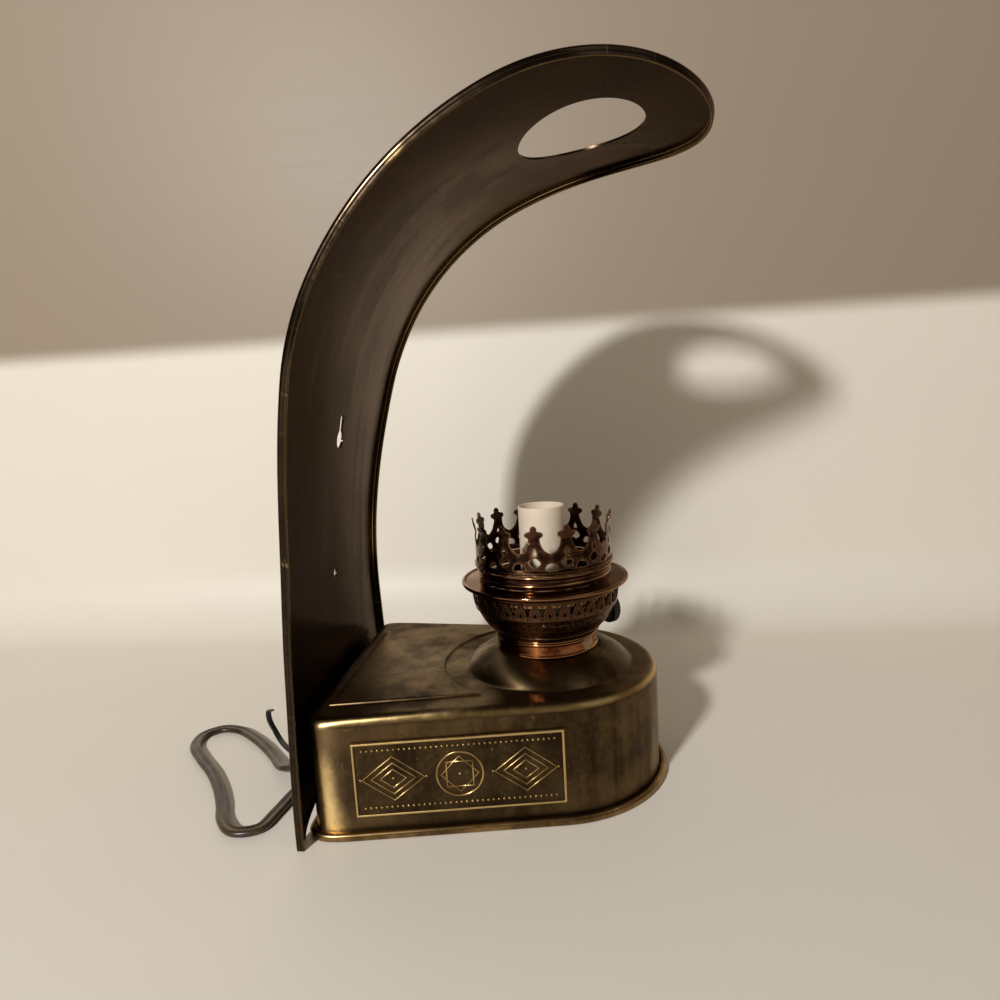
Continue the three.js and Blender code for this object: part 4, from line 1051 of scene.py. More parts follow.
class LAMP_OT_stage(LampOperator):
    """Makes the camera, the lights and the floor"""

    bl_idname = "lamp.stage"
    bl_label = "Stage"

    def build(self, context):
        stage, colours = context.scene.lamp_stage, context.scene.lamp_colours
        self.make_camera(context, stage)
        self.make_floor(colours)
        self.make_room(context, stage, colours)
        self.make_light("key light", (-1.02, 0.475, 0.715), 0.1, stage.key)
        self.make_light("fill light", (-0.5, -0.9, 1.1), 0.9, stage.fill)

    def make_camera(self, context, stage):
        yaw, pitch, roll = (math.radians(a) for a in CAMERA_TURN)
        ahead = Vector((
            math.cos(pitch) * math.cos(yaw), math.cos(pitch) * math.sin(yaw), -math.sin(pitch)
        ))
        level = Vector((math.sin(yaw), -math.cos(yaw), 0))
        over = level.cross(ahead)
        right = math.cos(roll) * level + math.sin(roll) * over
        up = math.cos(roll) * over - math.sin(roll) * level
        lens = bpy.data.cameras.new("camera")
        lens.sensor_width = SENSOR_WIDTH
        lens.lens = LENS
        lens.clip_start = 0.01
        camera = new_object("camera", lens)
        place = Matrix((right, up, -ahead)).transposed().to_4x4()
        place.translation = stage.eye
        camera.matrix_world = place
        context.scene.camera = camera

    def make_floor(self, colours):
        """A pale floor that curves up into a wall, which a camera behind it looks through; the wall's
        upper part carries a painted shadow.
        """
        section = [(FLOOR_FRONT, 0), (-600, 0), (0, 0)]
        section += arc(FLOOR_BEND, -HALF_TURN / 2, 0, 12, (FLOOR_FLAT_TO, FLOOR_BEND))
        section += [(FLOOR_FLAT_TO + FLOOR_BEND, z) for z in WALL_HEIGHTS]
        points = [(x, y, z) for x, z in section for y in (-FLOOR_HALF_WIDTH, FLOOR_HALF_WIDTH)]
        faces = [(i, i + 1, i + 3, i + 2) for i in range(0, len(points) - 2, 2)]
        floor = mesh_object("floor", points, faces, outwards=False)
        floor.data.shade_smooth()
        made = Finish("painted floor")
        cloud = made.noise(60, 3)
        fine = made.noise(2.5, 3, (1, 40, 1))
        tone, shade = linear(colours.floor), linear(colours.shade)
        colour = made.mix(cloud * 0.5, tone, darker(tone, 0.94))
        # Above SHADED_FROM the backdrop turns to the shade colour: a painted shadow across its upper
        # part
        colour = made.mix(made.step(made.height(), SHADED_FROM, SHADED_TO), colour, shade)
        gloss = 0.5 + (fine - 0.5) * 0.05
        floor.data.materials.append(made.surface(colour, gloss, 0.0, fine, 0.005, one_sided=True))
        if floor.data.polygons[0].normal.z < 0:
            floor.data.flip_normals()

    def make_room(self, context, stage, colours):
        room = bpy.data.worlds.new("room")
        room.use_nodes = True
        nodes = Nodes(room.node_tree)
        shade = nodes.node("ShaderNodeBackground", {}, {0: linear(colours.room), 1: stage.room})
        nodes.node("ShaderNodeOutputWorld", {}, {0: shade})
        context.scene.world = room
        context.scene.view_settings.view_transform = "Standard"

    def make_light(self, name, place, size, power):
        light = bpy.data.lights.new(name, "AREA")
        light.size = size
        light.energy = power
        lamp = new_object(name, light)
        lamp.location = place
        aim = LIT_POINT - lamp.location
        lamp.rotation_euler = aim.to_track_quat("-Z", "Y").to_euler()


class LAMP_OT_flex(LampOperator):
    """Lays the twin flex from the gland through its coil to the plug"""

    bl_idname = "lamp.flex"
    bl_label = "Twin flex"

    def build(self, context):
        run = through(RUN_ROUTE, 5)
        tail = through(TAIL_ROUTE, 5)
        line = [*run[:-1], *coil_line(), *tail[1:]]
        section = self.section()
        flex = drawn("twin_flex", section, line)
        total = sum((b - a).length for a, b in zip(line, line[1:])) * MM
        dress(flex, "lamp", "gold_flex", "cord_run", "cord_coil", "cord_tail", angle=60)
        FLEX.append((flex, line, total))

    def section(self):
        """Two round cores side by side with a web between them."""
        core, reach = FLEX_HALF_HEIGHT, 2.35
        right = arc(core, -reach, reach, 10, (core, 0))
        return [*right, *arc(core, HALF_TURN - reach, HALF_TURN + reach, 10, (-core, 0))]


FLEX = []


class LAMP_OT_plate(LampOperator):
    """Presses the back plate with its flange, its curl and its holes"""

    bl_idname = "lamp.plate"
    bl_label = "Back plate"

    def build(self, context):
        rim = plate_rim()
        web_edge = 4.0
        rings = [(web_edge, 0.0), (2.6, 0.0), (FLANGE_CORNER, 0.0)]
        rings += [
            (FLANGE_CORNER * (1 - math.sin(a)), FLANGE_CORNER * (1 - math.cos(a)))
            for a in spread(0, HALF_TURN / 2, 6)[1:]
        ]
        rings += [(0, 1.95), (0.14, 2.1), (0.16, 2.3), (0.02, 2.45), (0, 2.9), (0, FLANGE_DEPTH)]
        points, faces = [], []
        count = len(rim)
        for inset, depth in rings:
            for i, (here, out) in enumerate(rim):
                at = here - out * inset
                s = 0.0 if i in (0, count - 1) else at.y
                points.append(plate_point(at.x, s, depth))
        for row in range(len(rings) - 1):
            for i in range(count - 1):
                a = row * count + i
                faces.append((a, a + count, a + count + 1, a + 1))
        inner = [here - out * web_edge for here, out in rim]
        inner[0].y = inner[-1].y = 0.0
        arch = [(ARCH_HALF_WIDTH * math.cos(t), ARCH_RISE * math.sin(t))
                for t in spread(HALF_TURN, 0, 48)]
        outline = [*[tuple(p) for p in inner], *arch]
        flat, cells = cut_sheet(outline, self.holes(), 3.4)
        added(points, faces, [plate_point(x, s, 0) for x, s in flat], cells)
        plate = mesh_object("pressed_back_plate", points, faces)
        layer = plate.data.attributes.new("flat", "FLOAT_VECTOR", "POINT")
        for vert, item in zip(plate.data.vertices, layer.data):
            item.vector = flat_place(vert.co / MM) * MM
        if max(plate.data.polygons, key=lambda p: p.area).normal.y < 0:
            plate.data.flip_normals()
        thickened(plate, PLATE_SHEET)
        eased(plate, 0.2, angle=50)
        # The plate's extra wear along its inner fold paints a highlight there
        dress(plate, "lamp", "plate_brass", "back_plate", angle=40, worn=0.16, extra=self.painted_fold_highlight)

    def painted_fold_highlight(self, point):
        """Brighter brass along the inner side of the flange and its fold, carried as extra wear: a
        painted highlight.
        """
        x, s, _ = flat_place(point)
        inset = plate_half_width(s) - abs(x)
        if s > TIP_FROM:
            reach = math.hypot(2 * x / HEAD_WIDTH, (s - TIP_FROM) / TIP_LENGTH)
            inset = (1 - reach) * HEAD_WIDTH / 2
        return 0.32 if 0.6 < inset < 1.9 else 0.0

    def holes(self):
        """The vent, the keyhole, the fixing hole and the four screws' bores, on the flat sheet."""
        vent = [(x, VENT_AT + y) for x, y in oval(VENT_HALF_WIDTH, VENT_HALF_HEIGHT, 96)]
        keyhole = arc(KEYHOLE_RADIUS, math.radians(122), math.radians(418), 30, (0, KEYHOLE_AT))
        top = KEYHOLE_AT + KEYHOLE_RISE + KEYHOLE_RADIUS - KEYHOLE_SLOT_RADIUS
        keyhole += arc(KEYHOLE_SLOT_RADIUS, 0, HALF_TURN, 14, (0, top))
        fixing = circle(FIXING_HOLE_RADIUS, 24, (0, FIXING_HOLE_AT))
        bores = [circle(SCREW_BORE_RADIUS, 20, (side * SCREW_ACROSS, z))
                 for z in SCREW_HEIGHTS for side in (-1, 1)]
        return [vent, keyhole, fixing, *bores]


class LAMP_OT_reservoir(LampOperator):
    """Draws the reservoir shell with its dome, and the base plate with its rolled rim"""

    bl_idname = "lamp.reservoir"
    bl_label = "Reservoir"

    def build(self, context):
        self.shell()
        self.base()

    def shell(self):
        rise = [(0, SHELL_FOOT), (0, 6), (0, 16), (0, 28), (0, 38), (0, RESERVOIR_TOP - SHOULDER)]
        rise += [
            (SHOULDER * (math.cos(t) - 1), RESERVOIR_TOP - SHOULDER + SHOULDER * math.sin(t))
            for t in spread(0, HALF_TURN / 2, 8)[1:]
        ]
        rise.append((-SHOULDER - 1.2, RESERVOIR_TOP))
        rings = [plan_ring(offset, z) for offset, z in rise]
        points, faces = skin(rings, capped=False)
        field = self.field(0.0)
        lip = self.field(-0.7)
        dome_line = self.dome_line()
        steps = 128
        foot = circle(dome_line[0][0], steps)
        flat, cells = cut_sheet([p[:2] for p in rings[-1]], [foot, field], 3.2)
        added(points, faces, [(x, y, RESERVOIR_TOP) for x, y in flat], cells)
        rises = ((field, 0.0), (self.field(-0.25), 0.45), (lip, FIELD_RISE))
        steps_up = [[(x, y, RESERVOIR_TOP + height) for x, y in loop] for loop, height in rises]
        added(points, faces, *skin(steps_up, capped=False))
        flat, cells = cut_sheet(lip, [], 3.2)
        added(points, faces, [(x, y, RESERVOIR_TOP + FIELD_RISE) for x, y in flat], cells)
        added(points, faces, *lathe(dome_line, steps, closed=False))
        shell = mesh_object("drawn_reservoir", points, faces)
        lowest = min(shell.data.polygons, key=lambda p: p.center.y)
        if lowest.normal.y > 0:
            shell.data.flip_normals()
        thickened(shell, SHELL_SHEET)
        eased(shell, 0.15, angle=60)
        dress(shell, "lamp", "aged_brass", "reservoir_shell", angle=40, worn=0.14, extra=self.rubbed)

    def rubbed(self, point):
        """More wear where cloths rub: on the top edge, and on the back corners near the foot."""
        edge = 0.36 * math.exp(-(((point.z - 45.2) / 1.2) ** 2))
        if abs(point.x) < 50 or point.y < 60:
            return edge
        low = 1 - 0.75 * smooth(min(1.0, max(0.0, (point.z - 20) / 24)))
        return max(edge, 0.42 * low * math.exp(-(((point.y - 83) / 6.5) ** 2)))

    def field(self, grow):
        """The raised field behind the dome, its outline grown by an amount, as flat points."""
        side_line = NOSE_RADIUS - 12.5 + grow
        front = 44 - grow
        end = math.acos(min(1.0, side_line / front)) - TAPER
        back_y = SHELL_BACK - 6.2 + grow
        back_x = (side_line + back_y * math.sin(TAPER)) / math.cos(TAPER)
        bow = arc(front, HALF_TURN - end, end, 40)
        path = [*bow, (back_x, back_y), (-back_x, back_y)]
        made = []
        for i, p in enumerate(path):
            made.append(p)
            if i >= len(bow) - 1:
                here, after = Vector(p), Vector(path[(i + 1) % len(path)])
                made += [tuple(here.lerp(after, j / 12)) for j in range(1, 12)]
        return made

    def dome_line(self):
        """The dome's outline from the groove round its foot to the neck's hole."""
        top = RESERVOIR_TOP
        line = [(37.2, top), (36.8, top), (36.2, top - 0.03), (35.6, top - 0.02), (35.1, top + 0.1),
                (34.7, top + 0.35)]
        start, bow, end = Vector((34.3, top + 0.75)), Vector((30.6, 52.2)), Vector((21.9, DOME_TOP))
        line += [tuple(start.lerp(bow, t).lerp(bow.lerp(end, t), t)) for t in spread(0, 1, 16)]
        return [*line, (20.6, DOME_TOP), (19.0, DOME_TOP)]

    def base(self):
        profile = [(2.1, 0), (3, 0.9), (3, 2.5), (2.1, 3.4), (0.8, 3.4), (0.3, 2.9), (0.3, 0.9)]
        profile = rounded(profile, 0.9, 4)
        rings = [plan_ring(offset, z) for offset, z in profile]
        base = mesh_object("rolled_base_plate", *skin(rings))
        dress(base, "lamp", "rim_brass", "base_plate", angle=50)


class LAMP_OT_panels(LampOperator):
    """Strikes the two side panels with their raised lines and beads"""

    bl_idname = "lamp.panels"
    bl_label = "Side panels"

    def build(self, context):
        for name, side in (("left", -1), ("right", 1)):
            place = wall_place(side)
            self.ground(name, place)
            self.relief(name, place)

    def ground(self, name, place):
        x, y = PANEL_LENGTH / 2, PANEL_HEIGHT / 2
        loops = [(0, 0.3), (0, 1.15), (0.3, 1.5), (0.8, 1.5), (1.05, 1.2), (1.15, 0.8)]
        corners = ((-1, -1), (1, -1), (1, 1), (-1, 1))
        points, faces = skin([
            [(i * (x - inset), j * (y - inset), height) for i, j in corners] for inset, height in loops
        ])
        made = mesh_object(f"relief_panel_{name}", [tuple(place @ Vector(p)) for p in points], faces)
        eased(made, 0.12, angle=30)
        away = place.inverted()

        def frame(point):
            """The frame is bright all along: partly rubbed, partly a painted highlight."""
            flat = away @ point
            return 0.9 if max(abs(flat.x) - x, abs(flat.y) - y) > -0.93 else 0.0

        # The frame's extra wear is partly rubbing, partly a painted highlight along it
        dress(made, "lamp", "relief_brass", f"side_panel_{name}", angle=40, worn=0.5, extra=frame)

    def relief(self, name, place):
        """A star in a ring between nested lozenges, with rows of beads above and below."""
        lines = [circle(8.6, 48), circle(6.9, 4), circle(6.9, 4, start=HALF_TURN / 4)]
        for middle in (-24.5, 24.5):
            for half_x, half_y in ((11.6, 8.6), (8.2, 6.1), (4.8, 3.6)):
                lines.append([
                    (middle - half_x, 0), (middle, -half_y), (middle + half_x, 0), (middle, half_y)
                ])
        points, edges = [], []
        height = 0.85
        for loop in lines:
            start = len(points)
            points += [place @ Vector((x, y, height)) for x, y in loop]
            edges += [(start + i, start + (i + 1) % len(loop)) for i in range(len(loop))]
        ridge = mesh_object(f"relief_lines_{name}", points, [], edges)
        # The raised lines and beads are pale: partly rubbed, partly a painted highlight
        repeated(ridge, "raised lines", "line_brass_painted_highlight", Radius=sizes().ridge)
        dress(ridge, "lamp", "line_brass_painted_highlight", angle=50)
        rows = [(x, y) for y in (-11.2, 11.2) for x in spread(-35.5, 35.5, 36)]
        rows += [(x, 0) for x in (0, -24.5, 24.5, -12.3, 12.3, -36.6, 36.6)]
        spots = mesh_object(f"relief_beads_{name}", [place @ Vector((x, y, 0.8)) for x, y in rows], [])
        repeated(spots, "beads", "line_brass_painted_highlight", Radius=sizes().bead)
        dress(spots, "lamp", "line_brass_painted_highlight", angle=60)


class LAMP_OT_fasteners(LampOperator):
    """Makes the screws, nuts and spacers behind the reservoir"""

    bl_idname = "lamp.fasteners"
    bl_label = "Screws and nuts"

    def build(self, context):
        for i in range(1, 5):
            for kind, name, look, width in (
                ("plate_screw", "pan_head_screw", "steel", 0.15),
                ("plate_nut", "plate_hex_nut", "steel", 0.2),
                ("plate_spacer", "turned_spacer", "aged_brass", 0.2),
            ):
                made = refined(f"{kind}_{i}", f"{name}_{i}", width)
                dress(made, "lamp", look, f"{kind}_{i}")


class LAMP_OT_burner(LampOperator):
    """Turns the neck collar and burner cup, and pierces the basket"""

    bl_idname = "lamp.burner"
    bl_label = "Burner"

    def build(self, context):
        collar = turned("turned_neck_collar", [
            (17.9, 52.5), (18.7, 52.5), (18.7, 54.9), (21.2, 54.9), (21.5, 55.3), (21.4, 55.9),
            (21.2, 56.4), (21.15, 59.8), (21.5, 60.3), (21.5, 61.0), (20.4, 61.0), (20.4, 55.5),
            (17.9, 55.5),
        ], 0.3, 128)
        dress(collar, "lamp", "copper", "neck_collar", worn=0.5)
        cup = turned("turned_burner_cup", [
            (5.3, 56.4), (18.9, 56.4), (18.9, 55.8), (20.1, 55.8), (20.1, 61.3), (22.0, 61.3),
            (22.2, 61.55), (22.2, 62.05), (21.9, 62.3), (21.9, 63.8), (20.9, 63.8), (20.9, 62.3),
            (18.9, 62.3), (18.9, 57.2), (5.3, 57.2),
        ], 0.3, 128)
        dress(cup, "lamp", "bronze", "burner_base", worn=0.5)
        self.basket()

    def profile(self):
        """The basket's outer line as (radius, height), from foot to top."""
        return [
            (22.5, 62.6), (22.55, 62.9), (22.7, 63.2), (23.1, 63.4), (23.25, 63.75), (23.15, 64.1),
            (23.4, 64.35), (24.4, 65.1), (25.6, 66.2), (26.7, 67.8), (27.7, 69.6), (28.6, 71.4),
            (29.2, 72.6), (29.75, 73.0), (29.95, 73.3), (29.9, 73.7), (30.0, 74.5), (30.3, 76.5),
            (30.6, 78.6), (30.8, 80.3), (31.15, 80.7), (31.2, 81.1), (31.0, 81.4), (30.8, 81.6),
            (31.0, 81.9), (30.95, 82.3), (30.8, 82.5),
        ]

    def basket(self):
        line = [Vector(p) for p in self.profile()]
        along = [0.0]
        for a, b in zip(line, line[1:]):
            along.append(along[-1] + (b - a).length)

        def length_of(z):
            return interpolated([(p.y, v) for p, v in zip(line, along)], z)

        spread_radius = 30.8
        edge = FULL_TURN * spread_radius / PIERCINGS / 2
        notches = [(length_of(z), depth) for z, depth in
                   ((69.2, 0), (69.8, 0.5), (70.6, 0), (74.75, 0), (74.8, 0.9), (77.2, 0))]
        lengths = sorted({round(v, 4) for v in [*along, *[v for v, _ in notches]]})
        right = [(edge - interpolated(notches, v), v) for v in lengths]
        left = [(-x, v) for x, v in reversed(right)]
        y_hole = [(0, 78.5), (0.9, 79.9), (1.75, 80.0), (2.1, 79.5), (1.3, 78.2), (0.75, 77.0),
                  (0.6, 75.5), (0, 75.1)]
        y_hole += [(-x, z) for x, z in reversed(y_hole[1:-1])]
        diamond = [(0, 70.2), (0.55, 71.2), (0, 72.1), (-0.55, 71.2)]
        dots = circle(0.38, 8, (0, 74.2)), circle(0.4, 8, (0, 67.2))
        holes = [[(x, length_of(z)) for x, z in hole] for hole in (y_hole, diamond, *dots)]
        flat, cells = cut_sheet([*right, *left], holes, 0.8, lengths, 0)

        def bent(u, v):
            radius, z = interpolated(list(zip(along, line)), v)
            angle = u / spread_radius
            return radius * math.cos(angle), radius * math.sin(angle), z

        part = mesh_object("pierced_basket", [bent(u, v) for u, v in flat], cells)
        repeated(part, "ring of copies", "pressed_bronze", Count=PIERCINGS, Start=HALF_TURN / PIERCINGS)
        if max(part.data.polygons, key=lambda p: p.center.x).normal.x < 0:
            part.data.flip_normals()
        thickened(part, sizes().basket_sheet / MM)
        dress(part, "lamp", "pressed_bronze", "burner_basket", angle=45, extra=lambda point: 0.22)
        lines = [(edge, 80.2), (1.35, 74.9)], [(-edge, 80.2), (-1.35, 74.9)]
        points, edges = [], []
        for (x0, z0), (x1, z1) in lines:
            start = len(points)
            points += [bent(x0 + (x1 - x0) * t, length_of(z0 + (z1 - z0) * t)) for t in spread(0, 1, 4)]
            edges += [(start + i, start + i + 1) for i in range(4)]
        legs = mesh_object("basket_ridges", points, [], edges)
        repeated(legs, "raised lines", "bronze", Radius=0.2 * MM)
        repeated(legs, "ring of copies", "bronze", Count=PIERCINGS, Start=HALF_TURN / PIERCINGS)
        dress(legs, "lamp", "bronze", angle=60)


class LAMP_OT_gallery(LampOperator):
    """Turns the gallery's flange and ring, and cuts the crown"""

    bl_idname = "lamp.gallery"
    bl_label = "Gallery and crown"

    def build(self, context):
        flange = turned("turned_gallery_flange", [
            (28.7, 78.5), (29.9, 78.5), (29.9, 82.8), (32.6, 82.75), (33.6, 82.7), (34.4, 82.65),
            (34.85, 83.0), (35.0, 83.5), (34.85, 84.0), (34.4, 84.35), (33.8, 84.2), (33.2, 83.75),
            (31.0, 84.05), (27.6, 84.6), (25.8, 84.6), (25.8, 83.8), (27.6, 83.8), (28.7, 83.4),
        ], 0.25, 128)
        dress(flange, "gallery", "warm_bronze", "gallery_flange", worn=0.45)
        ring = turned("turned_gallery_ring", [
            (26.75, 84.9), (27.45, 84.9), (27.45, 85.8), (27.8, 86.1), (27.95, 86.5), (27.8, 86.9),
            (27.45, 87.2), (27.3, 87.7), (27.3, 88.7), (27.6, 89.3), (28.3, 89.5), (28.5, 89.85),
            (28.3, 90.2), (26.75, 90.2),
        ], 0.3, 128)
        dress(ring, "gallery", "warm_bronze", "gallery_ring", worn=0.8)
        self.crown()

    def crown(self):
        radius, foot, top = 28.3, 92.1, 110.5
        edge = FULL_TURN * radius / PRONGS / 2
        half = [(5.5, 99.8), (4.7, 100.2), (4.0, 100.8), (3.4, 101.5), (2.95, 102.3), (2.65, 103.2),
                (2.4, 104.2), (2.25, 105.1), (2.35, 105.6), (2.8, 105.9), (3.3, 106.25), (3.6, 106.8),
                (3.6, 107.3), (3.3, 107.8), (2.6, 108.1), (1.7, 108.25), (1.25, 108.5), (1.3, 109.1),
                (1.15, 109.7), (0.75, 110.2), (0.3, 110.45)]
        right = [(edge, foot), (edge, 92.9), (edge - 0.5, 93.1), (edge - 1.2, 92.8), (edge - 2.1, 93.0),
                 (edge - 2.35, 93.7), (edge - 2.0, 94.7), (edge - 1.2, 95.5), (edge, 95.8),
                 (edge, 97.5), (edge, 99.5), (6.0, 99.55), *half]
        outline = [*right, (0, top), *[(-x, z) for x, z in reversed(right)]]
        tear = [(0, 101.7), (0.45, 101.0), (0.85, 100.0), (0.75, 99.3), (0, 98.95)]
        tear += [(-x, z) for x, z in reversed(tear[1:-1])]
        heart = [(0, 98.0), (0.9, 97.6), (1.9, 96.6), (2.2, 95.7), (1.6, 94.9), (0.7, 94.6), (0, 94.0)]
        heart += [(-x, z) for x, z in reversed(heart[1:-1])]
        flat, cells = cut_sheet(outline, [tear, heart], 0.7, guard=0.25)

        def bent(u, z):
            share = max(0.0, (z - 99.5) / (top - 99.5))
            lean = 0.9 * share * share - 0.5 * math.exp(-((z - 105.0) / 1.3) ** 2)
            angle = u / radius
            reach = radius + lean
            return reach * math.cos(angle), reach * math.sin(angle), z

        part = mesh_object("cut_crown", [bent(u, z) for u, z in flat], cells)
        repeated(part, "ring of copies", "pressed_bronze", Count=PRONGS, Start=FIRST_PRONG)
        if max(part.data.polygons, key=lambda p: p.center.x).normal.x < 0:
            part.data.flip_normals()
        thickened(part, sizes().crown_sheet / MM)
        eased(part, 0.09, 2, 50)
        bead = turned("crown_bead", [
            (27.7, 90.5), (28.6, 90.5), (28.9, 90.8), (28.9, 91.2), (28.55, 91.45), (28.85, 91.75),
            (28.85, 92.1), (28.5, 92.35), (27.7, 92.35),
        ], 0.3, 140)
        crown = joined("cut_crown_with_bead", [part, bead])
        dress(crown, "gallery", "pressed_bronze", "crown", angle=45, worn=0.3)


class LAMP_OT_candle(LampOperator):
    """Makes the candle sleeve, its cup, the threaded tube and the lampholder"""

    bl_idname = "lamp.candle"
    bl_label = "Candle and lampholder"

    def build(self, context):
        wall = [(8.9, 69.3), (9.65, 69.3), (9.65, 114), (8.9, 114)]
        sleeve = turned("candle_sleeve_tube", wall, 0.25, 96)
        dress(sleeve, "sleeve", "white_sleeve", "candle_sleeve")
        disc = [(5.3, 68.2), (10.6, 68.2), (10.6, 69.0), (5.3, 69.0)]
        cup = turned("turned_sleeve_cup", disc, 0.25, 64)
        dress(cup, "lamp", "bright_brass", "sleeve_cup")
        tube = self.thread("threaded_nipple", 5.0, 3.9, 52.7, 72.9, 1.0, 0.25)
        dress(tube, "lamp", "steel", "nipple")
        for node in ("nipple_nut_lower", "nipple_nut_upper", "nipple_nut_cup"):
            dress(refined(node, f"{node}_hex", 0.3), "lamp", "steel", node)
        body = turned("lampholder_housing", [
            (5.3, 69.3), (8.5, 69.3), (8.5, 98.3), (7.7, 98.3), (7.7, 76.7), (6.9, 76.7), (6.9, 72.3),
            (5.3, 72.3),
        ], 0.3, 72)
        dress(body, "lamp", "black_plastic", "lampholder_body")
        core = refined("lampholder_core", "lampholder_disc", 0.25)
        dress(core, "lamp", "white_insulator", "lampholder_core")
        shell = self.thread("lampholder_thread", 7.4, 6.9, 80.3, 97.5, 2.8, 0.28)
        dress(shell, "lamp", "bright_brass", "lampholder_shell")
        contact = turned("lampholder_contact", [
            (0, 80.3), (2.4, 80.3), (2.4, 80.8), (1.3, 81.8), (0.9, 82.2), (0, 82.2),
        ], 0.2, 32)
        dress(contact, "lamp", "bright_brass", "centre_contact")
        for i in (1, 2):
            made = refined(f"terminal_screw_{i}", f"terminal_pan_screw_{i}", 0.15)
            dress(made, "lamp", "steel", f"terminal_screw_{i}")

    def thread(self, name, radius, bore, low, high, pitch, depth):
        """A tube whose wall carries a thread."""
        steps, rows = 48, max(12, round((high - low) / pitch * 8))
        rings = []
        for z in spread(low, high, rows):
            ease = min(1.0, (z - low) / pitch, (high - z) / pitch)
            ring = []
            for i in range(steps):
                angle = FULL_TURN * i / steps
                wave = depth * ease * (0.5 + 0.5 * math.cos(FULL_TURN * z / pitch - angle))
                r = radius - wave
                ring.append((r * math.cos(angle), r * math.sin(angle), z))
            rings.append(ring)
        inside = [[(x, y, z) for x, y in circle(bore, steps)] for z in (high, low)]
        return mesh_object(name, *skin([*rings, *inside], closed=True))


class LAMP_OT_knob(LampOperator):
    """Makes the wick knob with its flutes, its spindle, bush, nut and switch"""

    bl_idname = "lamp.knob"
    bl_label = "Wick knob"

    def build(self, context):
        line = radial_place(KNOB_ANGLE, SPINDLE_Z)
        self.knob(line)
        can = [(0, 8.8), (4.2, 8.8), (4.2, 17.5), (0, 17.5)]
        body = turned("switch_can", can, 0.5, 48, line)
        dress(body, "lamp", "black_plastic", "switch_body")
        tube = [(1.25, 17.8), (1.8, 17.8), (1.8, 28.4), (1.25, 28.4)]
        bush = turned("turned_spindle_bush", tube, 0.15, 32, line)
        dress(bush, "lamp", "bright_brass", "spindle_bush")
        nut = refined("switch_nut", "switch_hex_nut", 0.2)
        dress(nut, "lamp", "bright_brass", "switch_nut")
        pin = [(0, 17.8), (0.95, 17.8), (0.95, 35.6), (0, 35.6)]
        rod = turned("turned_spindle", pin, 0.2, 32, line)
        dress(rod, "wick_knob", "bright_brass", "spindle")

    def knob(self, line):
        """A knob of one flute's width, copied round its axis."""
        flutes = sizes().flutes
        half = HALF_TURN / flutes
        rings = []
        for t in spread(-half, half, 6):
            groove = 0.28 * (0.5 - 0.5 * math.cos(FULL_TURN * (t + half) / (2 * half)))
            rim = [(1.25, 31.0), (5.6, 31.0), (6.5, 31.25), (7.0 - groove * 0.6, 31.7),
                   (7.0 - groove, 32.4), (7.0 - groove, 33.7), (7.0 - groove * 0.6, 34.4), (6.5, 34.8),
                   (5.8, 34.9), (4.4, 34.75), (2.8, 34.85), (1.25, 35.0)]
            rings.append([(r * math.cos(t), r * math.sin(t), z) for r, z in rim])
        count = len(rings[0])
        points = [p for ring in rings for p in ring]
        faces = [
            (row * count + i, (row + 1) * count + i, (row + 1) * count + (i + 1) % count,
             row * count + (i + 1) % count)
            for row in range(len(rings) - 1) for i in range(count)
        ]
        part = mesh_object("fluted_knob", points, faces)
        repeated(part, "ring of copies", "black_plastic", Count=flutes, Start=0.0)
        part.data.transform(Matrix.Scale(MM, 4) @ line @ Matrix.Scale(1 / MM, 4))
        dress(part, "wick_knob", "black_plastic", "knob", angle=50)


class LAMP_OT_leads(LampOperator):
    """Rounds the inner leads"""

    bl_idname = "lamp.leads"
    bl_label = "Inner leads"

    def build(self, context):
        leads = {"lead_live": "brown_lead", "lead_switched": "brown_lead", "lead_neutral": "blue_lead"}
        for node, look in leads.items():
            made = refined(node, f"{node}_core", 0.05, 1)
            modified(made, "SUBSURF", levels=1, render_levels=1)
            dress(made, "lamp", look, node, angle=80)


